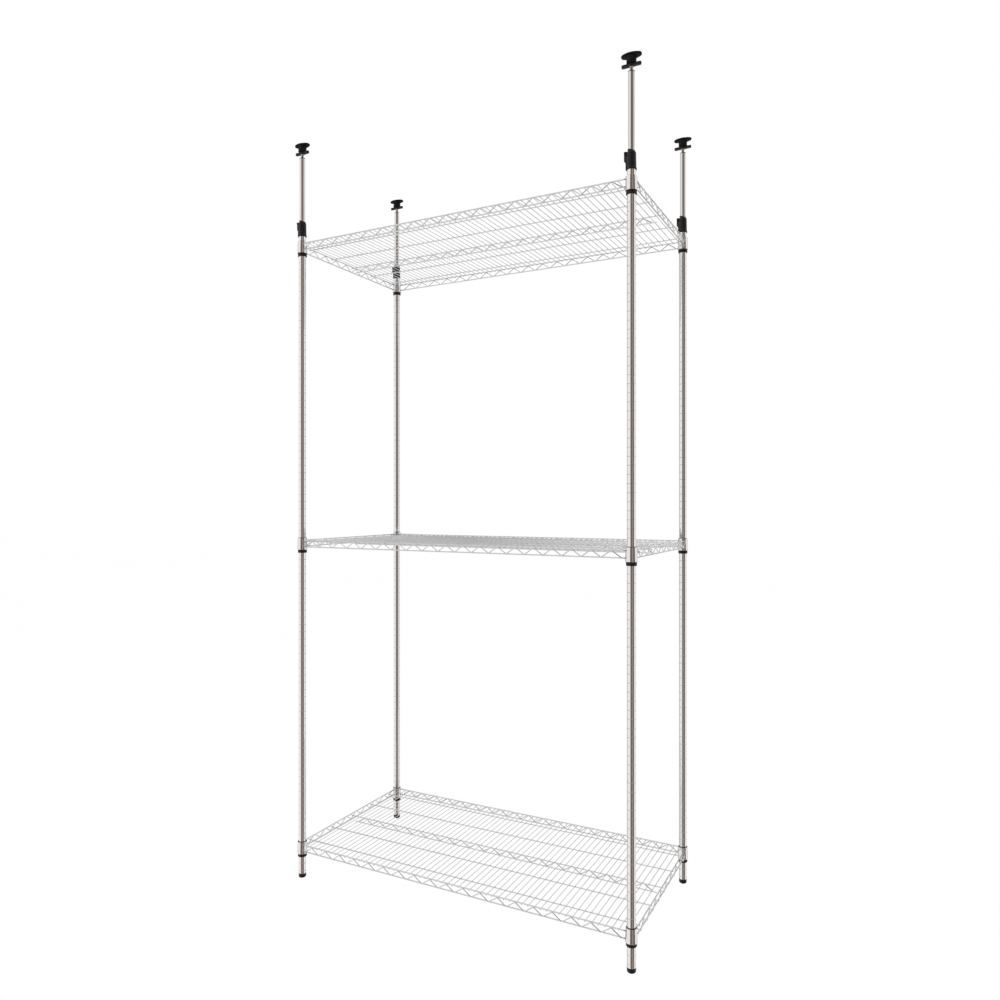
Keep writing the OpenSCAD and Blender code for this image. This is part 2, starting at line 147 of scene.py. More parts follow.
# Softened wire ends: rings along the axis and how far each lies inside the wire, in tips.
TIP_STEPS = np.array([0.0, 0.3, 1.0, 2.2])
TIP_INSETS = np.array([1.0, 0.3, 0.0, 0.0, 0.0, 0.0, 0.3, 1.0])
BEAD_LATITUDES = (-66.0, -24.0, 24.0, 66.0)


def round_angles(sides: int) -> Array:
    """Equal angles of a full turn, one for each side."""
    return np.arange(sides) * (2 * math.pi / sides)


def polar(radius: Array, angle: Array, height: Array) -> Array:
    """Points (r cos a, r sin a, h), with the three stretched to one shape."""
    return np.stack(np.broadcast_arrays(radius * np.cos(angle), radius * np.sin(angle), height), axis=-1)


def soften(outline: Array, radius: float | Array, steps: int = 4, closed: bool = True) -> Array:
    """Rounds the corners of a flat outline.

    Each corner C becomes the quadratic arc (1-t)^2 A + 2t(1-t) C + t^2 B, where A and B lie a radius
    back along its two sides. One more point stands outside each end of the arc, so that the flat
    beyond it keeps an even shade.

    Args:
        outline: Corners, n by 2.
        radius: Length taken from the sides, one value or one for each rounded corner.
        steps: Number of pieces in each arc.
        closed: Whether the last corner joins the first. The ends of an open outline stay sharp.

    Returns:
        The rounded outline, m by 2.
    """
    outline = np.asarray(outline, float)
    if closed:
        before, corner, after = np.roll(outline, 1, axis=0), outline, np.roll(outline, -1, axis=0)
    else:
        before, corner, after = outline[:-2], outline[1:-1], outline[2:]
    back, ahead = before - corner, after - corner
    back_len = np.linalg.norm(back, axis=1)
    ahead_len = np.linalg.norm(ahead, axis=1)
    reach = np.minimum(ARC_SHARE * np.minimum(back_len, ahead_len), radius)
    back_unit, ahead_unit = back / back_len[:, None], ahead / ahead_len[:, None]
    start = corner + back_unit * reach[:, None]
    finish = corner + ahead_unit * reach[:, None]
    back_out = np.minimum(BESIDE_REACH * reach, BESIDE_SHARE * back_len)
    ahead_out = np.minimum(BESIDE_REACH * reach, BESIDE_SHARE * ahead_len)
    outer_start = corner + back_unit * back_out[:, None]
    outer_finish = corner + ahead_unit * ahead_out[:, None]
    t = np.linspace(0.0, 1.0, steps + 1)[None, :, None]
    arc = (1 - t) ** 2 * start[:, None] + 2 * t * (1 - t) * corner[:, None] + t**2 * finish[:, None]
    rounded = np.concatenate([outer_start[:, None], arc, outer_finish[:, None]], axis=1).reshape(-1, 2)
    return rounded if closed else np.vstack([outline[:1], rounded, outline[-1:]])


def tube_wall(bore: float, outside: float, low: float, top: float, edge: float) -> Array:
    """Cross-section of a tube's wall with softened edges, as radii and heights."""
    return soften([[bore, low], [outside, low], [outside, top], [bore, top]], edge, 3)


def side_rim(inset: float, low: float, high: float, radius: float | Array, steps: int = 3) -> Array:
    """Rim of a plate from its low face to its high one, with both faces drawn in by an inset."""
    return soften([[inset, low], [0.0, low], [0.0, high], [inset, high]], radius, steps, closed=False)


def revolve(profile: Array, centres: Array, sides: int = 48) -> Array:
    """Turns a profile of (radius, height) round upright axes.

    A point is (x + r cos a, y + r sin a, z + h) with the angle a running round the columns.

    Args:
        profile: Radii and heights, n by 2.
        centres: Feet of the axes, k by 3.
        sides: Columns round the axis.

    Returns:
        Grids, k by n by sides by 3.
    """
    ring = polar(profile[:, 0, None], round_angles(sides), profile[:, 1, None])
    return np.atleast_2d(centres)[:, None, None, :] + ring[None]


def sector(profile: Array, centres: Array, start: float, turn: float, steps: int) -> Array:
    """Turns a closed profile of (radius, height) part of the way round upright axes.

    The rows are the angles from start to start plus turn, and the columns run round the profile.

    Args:
        profile: Radii and heights, n by 2.
        centres: Feet of the axes, k by 3.
        start: First angle, in radians.
        turn: Angle turned through, in radians.
        steps: Number of rows.

    Returns:
        Grids, k by steps by n by 3.
    """
    angle = np.linspace(start, start + turn, steps)[:, None]
    part = polar(profile[None, :, 0], angle, profile[None, :, 1])
    return np.atleast_2d(centres)[:, None, None, :] + part[None]


def rods(starts: Array, ends: Array, radius: float, sides: int = 14, tip: float = 0.5) -> Array:
    """Straight round wires with softened ends.

    A ring stands at s along the axis with radius r - q, where q falls from the tip's size to nothing
    over the first and last bit of the length.

    Args:
        starts: First ends of the axes, k by 3.
        ends: Second ends of the axes, k by 3.
        radius: Radius of the wire.
        sides: Columns round the wire.
        tip: Size of the softened edge at each end.

    Returns:
        Grids, k by 8 by sides by 3.
    """
    starts, ends = np.atleast_2d(starts).astype(float), np.atleast_2d(ends).astype(float)
    span = ends - starts
    length = np.linalg.norm(span, axis=1, keepdims=True)
    unit = span / length
    guide = np.where(np.abs(unit[:, 2:3]) < 0.9, [[0.0, 0.0, 1.0]], [[1.0, 0.0, 0.0]])
    across = np.cross(unit, guide)
    across /= np.linalg.norm(across, axis=1, keepdims=True)
    other = np.cross(unit, across)
    near = TIP_STEPS * tip
    along = np.concatenate([np.broadcast_to(near, (len(span), 4)), length - near[::-1]], axis=1)
    inset = TIP_INSETS * tip
    angle = round_angles(sides)[None, :, None]
    turn = across[:, None, :] * np.cos(angle) + other[:, None, :] * np.sin(angle)
    axis = starts[:, None, :] + unit[:, None, :] * along[:, :, None]
    return axis[:, :, None, :] + (radius - inset)[None, :, None, None] * turn[:, None, :, :]


def tube(path: Array, tangents: Array, side: Array, radius: float, sides: int = 14) -> Array:
    """Round wire along a path that lies in a plane.

    A point is P + r (cos a S + sin a T x S) for the path's point P, its tangent T and the plane's
    normal S.

    Args:
        path: Points of the axis, n by 3.
        tangents: Unit tangents there, n by 3.
        side: The plane's unit normal.
        radius: Radius of the wire.
        sides: Columns round the wire.

    Returns:
        One grid, 1 by n by sides by 3.
    """
    angle = round_angles(sides)
    binormal = np.cross(tangents, side)
    turn = np.cos(angle)[None, :, None] * side + np.sin(angle)[None, :, None] * binormal[:, None, :]
    return (path[:, None, :] + radius * turn)[None]


def slab(outline: Array, rim: Array) -> Array:
    """Plate with a shaped edge, cut to an outline in the XY plane.

    A point is the outline's point moved inwards along its normal by the rim's inset, at the rim's
    height.

    Args:
        outline: Closed outline that runs anticlockwise, n by 2.
        rim: Insets and heights from the bottom face to the top one, m by 2.

    Returns:
        One grid, 1 by m by n by 3.
    """
    along = np.roll(outline, -1, axis=0) - np.roll(outline, 1, axis=0)
    along /= np.linalg.norm(along, axis=1, keepdims=True)
    outward = np.stack([along[:, 1], -along[:, 0]], axis=1)
    flat = outline[None] - rim[:, 0, None, None] * outward[None]
    height = np.broadcast_to(rim[:, 1, None, None], flat.shape[:2] + (1,))
    return np.concatenate([flat, height], axis=-1)[None]


def beads(centres: Array, halves: Sequence[float], sides: int = 8) -> Array:
    """Weld beads: ellipsoids cut off at latitudes of 66 degrees.

    A point is centre + (a cos u cos v, b cos u sin v, c sin u) for latitude u and longitude v.

    Args:
        centres: Middles of the beads, k by 3.
        halves: Half sizes a, b and c.
        sides: Columns round each bead.

    Returns:
        Grids, k by 4 by sides by 3.
    """
    latitude = np.radians(BEAD_LATITUDES)[:, None]
    ball = polar(np.cos(latitude), round_angles(sides)[None], np.sin(latitude))
    return np.atleast_2d(centres)[:, None, None, :] + ball[None] * np.asarray(halves, float)


def turned(points: Array, quarter_turns: int) -> Array:
    """Turns points about the origin's upright axis by quarter turns.

    Args:
        points: Points, with X, Y and Z along the last axis.
        quarter_turns: Number of quarter turns, anticlockwise from above.

    Returns:
        The turned points.
    """
    angle = quarter_turns * math.pi / 2
    cos, sin = round(math.cos(angle)), round(math.sin(angle))
    return points @ np.array([[cos, sin, 0.0], [-sin, cos, 0.0], [0.0, 0.0, 1.0]])


class Shells:
    """Closed shells of one piece, gathered as whole arrays."""

    def __init__(self) -> None:
        """Starts with no shell."""
        self.points: list[Array] = []
        self.quads: list[Array] = []
        self.caps: list[Array] = []
        self.count = 0

    def add(self, grids: Array, ring: bool = False) -> "Shells":
        """Adds closed shells with their faces pointing outwards.

        The faces join each point to its neighbours in the grid. A shell whose signed volume, the sum
        of the faces' triple products about its middle, is negative has its faces turned over.

        Args:
            grids: Grids, k by rows by columns by 3. Every grid wraps round its columns.
            ring: Whether the rows wrap too. Otherwise flat faces close the first and last rows.

        Returns:
            This gathering of shells.
        """
        k, rows, cols = grids.shape[:3]
        index = np.arange(rows * cols).reshape(rows, cols)
        if ring:
            index = np.vstack([index, index[:1]])
        right = np.roll(index, -1, axis=1)
        quad = np.stack([index[:-1], right[:-1], right[1:], index[1:]], axis=-1).reshape(-1, 4)
        flat = grids.reshape(k, -1, 3)
        corners = (flat - flat.mean(axis=1, keepdims=True))[:, quad]
        crossing = np.cross(corners[:, :, 2] - corners[:, :, 0], corners[:, :, 3] - corners[:, :, 1])
        inward = (corners.mean(axis=2) * crossing).sum(axis=(1, 2)) < 0
        offset = self.count + np.arange(k)[:, None, None] * rows * cols
        quads = quad[None] + offset
        self.quads.append(np.where(inward[:, None, None], quads[:, :, ::-1], quads).reshape(-1, 4))
        if not ring:
            ends = np.stack([index[0][::-1], index[-1]])[None] + offset
            self.caps.append(np.where(inward[:, None, None], ends[:, :, ::-1], ends).reshape(-1, cols))
        self.points.append(flat.reshape(-1, 3))
        self.count += k * rows * cols
        return self

    def build(self, name: str, material: bpy.types.Material) -> bpy.types.Object:
        """Puts the shells into one mesh object at the origin.

        Args:
            name: Name of the object.
            material: Its finish.

        Returns:
            The new object, linked to the scene.
        """
        quads = np.concatenate(self.quads)
        caps = [face for group in self.caps for face in group.tolist()]
        mesh = bpy.data.meshes.new(name)
        mesh.from_pydata(np.concatenate(self.points) * MM, [], quads.tolist() + caps)
        smooth = np.ones(len(mesh.polygons), dtype=bool)
        smooth[len(quads):] = False
        mesh.polygons.foreach_set("use_smooth", smooth)
        mesh.materials.append(material)
        mesh.update()
        piece = bpy.data.objects.new(name, mesh)
        bpy.context.scene.collection.objects.link(piece)
        return piece


def dress(shells: Shells, name: str, finish: "Finish", body: str, nodes: Iterable[str]) -> bpy.types.Object:
    """Builds one piece, lets it ride on its body and lets it stand for its solids.

    Args:
        shells: Shape of the piece.
        name: Name of the piece.
        finish: Its finish.
        body: Moving body that carries it.
        nodes: Solids that it stands for.

    Returns:
        The piece.
    """
    piece = shells.build(name, finish.material())
    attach(piece, body)
    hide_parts(*nodes)
    LOG.info("%s: %d faces on %s", name, len(piece.data.polygons), body)
    return piece


# Finishes: each one makes its node material once, from Object coordinates.


class Graph:
    """Short way to write a node material."""

    def __init__(self, name: str) -> None:
        """Starts a material with a shader and its output.

        Args:
            name: Name of the material.
        """
        self.material = bpy.data.materials.new(name)
        self.material.use_nodes = True
        self.tree = self.material.node_tree
        self.tree.nodes.clear()
        self.shader = self.add("ShaderNodeBsdfPrincipled")
        self.link(self.shader.outputs["BSDF"], self.add("ShaderNodeOutputMaterial").inputs["Surface"])
        self.place = self.add("ShaderNodeTexCoord").outputs["Object"]

    def add(self, kind: str, **values: object) -> bpy.types.Node:
        """Adds a node and sets its own properties.

        Args:
            kind: Type of the node.
            values: Properties by name.

        Returns:
            The node.
        """
        node = self.tree.nodes.new(kind)
        for key, value in values.items():
            setattr(node, key, value)
        return node

    def link(self, source: bpy.types.NodeSocket, target: bpy.types.NodeSocket) -> None:
        """Joins two sockets."""
        self.tree.links.new(source, target)

    def set(self, **values: object) -> None:
        """Sets constants on the shader's own sockets, with spaces written as underscores."""
        for key, value in values.items():
            self.shader.inputs[key.replace("_", " ")].default_value = value

    def noise(self, scale: float, detail: float = 3.0,
              stretch: Triple = (1.0, 1.0, 1.0)) -> bpy.types.NodeSocket:
        """Noise over the object, stretched along its axes.

        Args:
            scale: Cells to the metre.
            detail: Finer layers added.
            stretch: Factors on X, Y and Z.

        Returns:
            The noise value, about 0.5 in the mean.
        """
        mapping = self.add("ShaderNodeMapping")
        mapping.inputs["Scale"].default_value = stretch
        self.link(self.place, mapping.inputs["Vector"])
        noise = self.add("ShaderNodeTexNoise")
        noise.inputs["Scale"].default_value = scale
        noise.inputs["Detail"].default_value = detail
        self.link(mapping.outputs["Vector"], noise.inputs["Vector"])
        return noise.outputs["Fac"]

    def spread(self, value: bpy.types.NodeSocket, low: float, high: float,
               start: float = 0.3, end: float = 0.7) -> bpy.types.NodeSocket:
        """Carries a value from one range to another, with its ends held.

        Args:
            value: Incoming value.
            low: Result at the start.
            high: Result at the end.
            start: Incoming value that gives the low result.
            end: Incoming value that gives the high result.

        Returns:
            The carried value.
        """
        node = self.add("ShaderNodeMapRange", clamp=True)
        for key, number in (("From Min", start), ("From Max", end), ("To Min", low), ("To Max", high)):
            node.inputs[key].default_value = number
        self.link(value, node.inputs["Value"])
        return node.outputs["Result"]

    def math(self, operation: str, first: bpy.types.NodeSocket,
             second: bpy.types.NodeSocket | float = 0.0) -> bpy.types.NodeSocket:
        """Result of one step of arithmetic on a value.

        Args:
            operation: Name of the step.
            first: First value.
            second: Second value or number.

        Returns:
            The result.
        """
        node = self.add("ShaderNodeMath", operation=operation)
        self.link(first, node.inputs[0])
        if isinstance(second, (int, float)):
            node.inputs[1].default_value = second
        else:
            self.link(second, node.inputs[1])
        return node.outputs["Value"]

    def blend(self, amount: bpy.types.NodeSocket, low: Colour, high: Colour) -> bpy.types.NodeSocket:
        """Colour between two, by an amount from 0 to 1.

        Args:
            amount: Share of the high colour.
            low: Colour at 0.
            high: Colour at 1.

        Returns:
            The colour.
        """
        node = self.add("ShaderNodeMix", data_type="RGBA")
        node.inputs["A"].default_value = (*low, 1.0)
        node.inputs["B"].default_value = (*high, 1.0)
        self.link(amount, node.inputs["Factor"])
        return node.outputs["Result"]

    def bump(self, height: bpy.types.NodeSocket, depth_mm: float, strength: float) -> None:
        """Raises the surface by a height field on its normal.

        Args:
            height: Height field.
            depth_mm: Depth of the relief in millimetres.
            strength: Share of the relief that shows.
        """
        node = self.add("ShaderNodeBump")
        node.inputs["Strength"].default_value = strength
        node.inputs["Distance"].default_value = depth_mm * MM
        self.link(height, node.inputs["Height"])
        self.link(node.outputs["Normal"], self.shader.inputs["Normal"])


def scaled(colour: Colour, factor: float) -> Colour:
    """Colour times a factor."""
    return (colour[0] * factor, colour[1] * factor, colour[2] * factor)


@dataclass(frozen=True)
class Finish:
    """A finish and the name of the slot that it belongs to."""

    name: str
    slot: str
    tint: Colour

    def material(self) -> bpy.types.Material:
        """The finish's material, made at its first use."""
        found = bpy.data.materials.get(self.name)
        return found or self.paint(Graph(self.name))

    def paint(self, graph: Graph) -> bpy.types.Material:
        """Fills in the material's nodes."""
        raise NotImplementedError


@dataclass(frozen=True)
class ChromePlate(Finish):
    """Polished chrome: wiped haze, fine draw lines, dark specks and painted shade, a darker band of the
    colour in each ring groove.
    """

    polish: float = 0.05
    haze: float = 0.13
    line_stretch: Triple = (1.0, 1.0, 0.02)
    # Pitch and half width of the painted shade band round each ring groove; no pitch, no band.
    shaded_groove_pitch_mm: float = 0.0
    shaded_groove_half_mm: float = 1.3

    def paint(self, graph: Graph) -> bpy.types.Material:
        """Fills in the nodes: haze drives roughness, draw lines the normal, and specks and painted groove
        shade darken the colour.

        Args:
            graph: New material with its shader.

        Returns:
            The material.
        """
        wiped = graph.noise(14.0, 5.0, (1.0, 1.0, 0.5))
        specks = graph.noise(900.0, 2.0)
        # shade first holds random dark specks in the plating; the painted groove shade is added to it below.
        shade = graph.spread(specks, 0.0, 0.4, 0.62, 0.78)
        roughness = graph.spread(wiped, self.polish, self.haze)
        # Painted shade: a band round each ring groove darkens the colour towards 0.6 of the tint, and the
        # band also roughens it.
        if self.shaded_groove_pitch_mm:
            split = graph.add("ShaderNodeSeparateXYZ")
            graph.link(graph.place, split.inputs["Vector"])
            turns = graph.math("DIVIDE", split.outputs["Z"], self.shaded_groove_pitch_mm * MM)
            phase = graph.math("FRACT", graph.math("ADD", turns, 0.5))
            away = graph.math("ABSOLUTE", graph.math("SUBTRACT", phase, 0.5))
            half = self.shaded_groove_half_mm / self.shaded_groove_pitch_mm
            groove = graph.spread(away, 1.0, 0.0, half * 0.35, half)
            shade = graph.math("MAXIMUM", shade, groove)
            roughness = graph.math("ADD", roughness, graph.math("MULTIPLY", groove, 0.12))
        graph.link(graph.blend(shade, self.tint, scaled(self.tint, 0.6)), graph.shader.inputs["Base Color"])
        graph.link(roughness, graph.shader.inputs["Roughness"])
        graph.set(Metallic=1.0)
        graph.bump(graph.noise(700.0, 2.0, self.line_stretch), 0.004, 0.35)
        return graph.material


@dataclass(frozen=True)
class SatinBlack(Finish):
    """Satin black moulding or coat: fine grain, rubbed patches and a little dust."""

    grain_mm: float = 0.35
    grain_depth_mm: float = 0.02
    roughness: float = 0.42
    shine: float = 0.22
    dust: float = 0.35

    def paint(self, graph: Graph) -> bpy.types.Material:
        """Fills in the nodes: grain drives the normal, rubbing the roughness and dust the colour.

        Args:
            graph: New material with its shader.

        Returns:
            The material.
        """
        grain = graph.noise(1000.0 / self.grain_mm, 3.0)
        rubbed = graph.noise(60.0, 4.0)
        dusty = graph.math("MULTIPLY", graph.spread(graph.noise(220.0, 6.0), 0.0, 1.0, 0.5, 0.75), self.dust)
        graph.link(graph.blend(dusty, self.tint, tuple(0.012 + 1.6 * part for part in self.tint)),
                   graph.shader.inputs["Base Color"])
        graph.link(graph.spread(rubbed, self.roughness - 0.07, self.roughness + 0.1),
                   graph.shader.inputs["Roughness"])
        graph.set(Specular_IOR_Level=self.shine)
        graph.bump(grain, self.grain_depth_mm, 0.5)
        return graph.material


@dataclass(frozen=True)
class PlatedSteel(Finish):
    """Bright zinc plate over turned steel: lathe rings and a faint warm bloom."""

    ring_mm: float = 0.22

    def paint(self, graph: Graph) -> bpy.types.Material:
        """Fills in the nodes: rings drive the normal and the bloom drives colour and roughness.

        Args:
            graph: New material with its shader.

        Returns:
            The material.
        """
        bloom = graph.spread(graph.noise(160.0, 4.0), 0.0, 1.0)
        red, green, blue = self.tint
        warm = (red * 0.8, green * 0.77, blue * 0.7)
        graph.link(graph.blend(bloom, self.tint, warm), graph.shader.inputs["Base Color"])
        graph.link(graph.spread(bloom, 0.2, 0.34, 0.0, 1.0), graph.shader.inputs["Roughness"])
        graph.set(Metallic=1.0)
        graph.bump(graph.noise(1000.0 / self.ring_mm, 1.0, (0.05, 0.05, 1.0)), 0.006, 0.4)
        return graph.material


# The tubes' finish carries the painted shade in their ring grooves.
TUBE_CHROME = ChromePlate("tube_finish", "chrome_tube", (0.79, 0.79, 0.785), polish=0.03, haze=0.09,
                          shaded_groove_pitch_mm=25.4)
POLE_CHROME = ChromePlate("pole_finish", "chrome_tube", (0.69, 0.68, 0.665), polish=0.03, haze=0.08)
COLLAR_CHROME = ChromePlate("collar_finish", "chrome_collar", (0.76, 0.765, 0.77), polish=0.06, haze=0.16,
                            line_stretch=(0.3, 0.3, 1.0))
WIRE_CHROME = ChromePlate("wire_finish", "chrome_wire", (0.62, 0.62, 0.625), polish=0.08, haze=0.18,
                          line_stretch=(0.4, 0.4, 1.0))
BLACK_PLASTIC = SatinBlack("moulded_finish", "black_plastic", (0.009, 0.009, 0.0095))
BLACK_COAT = SatinBlack("coat_finish", "black_metal", (0.009, 0.009, 0.0095), grain_mm=0.8, roughness=0.38)
BLACK_PAD = SatinBlack("pad_finish", "black_pad", (0.007, 0.007, 0.0073), grain_mm=0.6, roughness=0.6,
                       shine=0.12)
ZINC = PlatedSteel("zinc_finish", "plated_steel", (0.6, 0.59, 0.58))


# Sub-assemblies


@dataclass
class Post:
    """Grooved tube of the frame."""

    corner: Corner
    wall: float = 1.2
    groove_half: float = 1.2
    groove_depth: float = 0.6
    last_groove: int = 89
    edge: float = 0.35
    groove_steps: tuple[float, ...] = (-1.3, -1.0, -0.6, -0.25, 0.25, 0.6, 1.0, 1.3)

    def profile(self) -> Array:
        """Outline of the wall: a ring groove is r = R - d (1 + cos(pi s)) / 2 for s from -1 to 1.

        Returns:
            Radii and heights, n by 2.
        """
        s = np.array(self.groove_steps)
        dip = np.where(np.abs(s) < 1, self.groove_depth * (1 + np.cos(math.pi * s)) / 2, 0.0)
        at = np.arange(1, self.last_groove + 1) * LAYOUT.pitch
        height = (at[:, None] + s * self.groove_half).ravel()
        outside = np.stack([np.tile(LAYOUT.post_r - dip, self.last_groove), height], axis=1)
        low, top, bore = LAYOUT.foot_h, LAYOUT.post_top, LAYOUT.post_r - self.wall
        ends = tube_wall(bore, LAYOUT.post_r, low, top, self.edge)
        quarter = len(ends) // 4
        return np.vstack([ends[: 2 * quarter], outside, ends[2 * quarter:]])

    def build(self) -> None:
        """Makes the post."""
        shells = Shells().add(revolve(self.profile(), LAYOUT.axis(self.corner), 48), ring=True)
        name = f"post_{self.corner.label}"
        dress(shells, f"{name}_tube", TUBE_CHROME, "shelving_frame", [name])


@dataclass
class Feet:
    """Caps pushed into the lower ends of the posts."""

    radius: float = 12.9
    bevel: float = 3.0
    plug_r: float = 11.0
    plug_h: float = 22.0
    centre_r: float = 2.0

    def build(self) -> None:
        """Makes the four caps as one piece."""
        h = LAYOUT.foot_h
        outline = [[self.centre_r, 0.0], [self.radius - self.bevel, 0.0], [self.radius, self.bevel],
                   [self.radius, h], [self.plug_r, h], [self.plug_r, h + self.plug_h],
                   [self.centre_r, h + self.plug_h]]
        profile = soften(outline, [1.4, 1.4, 0.4, 0.2, 1.0], 4, closed=False)
        centres = LAYOUT.axes()
        shells = Shells().add(revolve(profile, centres, 48))
        dress(shells, "foot_caps", BLACK_PLASTIC, "shelving_frame", ["feet"])


@dataclass
class ShelfCorners:
    """Tapered collars of a shelf and the split sleeves that they wedge on."""

    drop: float = 17.9
    height: float = 42.3
    low_r: float = 17.5
    top_r: float = 16.2
    wall: float = 1.4
    sleeve_bore: float = 12.75
    lip_r: float = 15.4
    lip_top: float = -16.3
    lip_low: float = -27.6
    chamfer_r: float = 0.7
    chamfer_h: float = 1.6
    rise: float = 0.7
    split: float = 1.6

    def cone(self, z: float | Array) -> float | Array:
        """Radius of the collar's outside at a height over the groove."""
        return self.low_r - (z + self.drop) * (self.low_r - self.top_r) / self.height

    def collars(self, level: Level) -> None:
        """Makes a shelf's four collars as one piece.

        Args:
            level: The shelf.
        """
        low, top = self.lip_top, self.height - self.drop
        low_r = self.cone(low)
        outline = [[low_r - self.wall, low], [low_r, low], [self.top_r, top], [self.top_r - self.wall, top]]
        profile = soften(outline, [0.3, 0.6, 0.6, 0.3], 4)
        centres = LAYOUT.axes() + LAYOUT.lift(level)
        shells = Shells().add(revolve(profile, centres, 72), ring=True)
        node = f"{level.label}_shelf_collars"
        dress(shells, f"{node}_rings", COLLAR_CHROME, "shelving_frame", [node])

    def sleeves(self) -> None:
        """Makes all the half sleeves as one piece."""
        low, lip, top = self.lip_low, self.lip_top, self.height - self.drop
        seat = self.wall + LAYOUT.fit
        outline = [[self.sleeve_bore, low], [self.lip_r - self.chamfer_r, low],
                   [self.lip_r, low + self.chamfer_h], [self.lip_r, lip], [self.cone(lip) - seat, lip],
                   [self.top_r - seat, top + self.rise], [self.sleeve_bore, top + self.rise]]
        profile = soften(outline, [0.4, 0.6, 0.8, 0.15, 0.15, 0.4, 0.2], 4)
        centres = np.vstack([LAYOUT.axes() + LAYOUT.lift(level) for level in Level])
        gap = math.asin(self.split / 2 / self.sleeve_bore)
        shells = Shells()
        for start in (0.0, math.pi):
            shells.add(sector(profile, centres, start + gap, math.pi - 2 * gap, 26))
        dress(shells, "sleeve_halves", BLACK_PLASTIC, "shelving_frame", ["split_sleeves"])


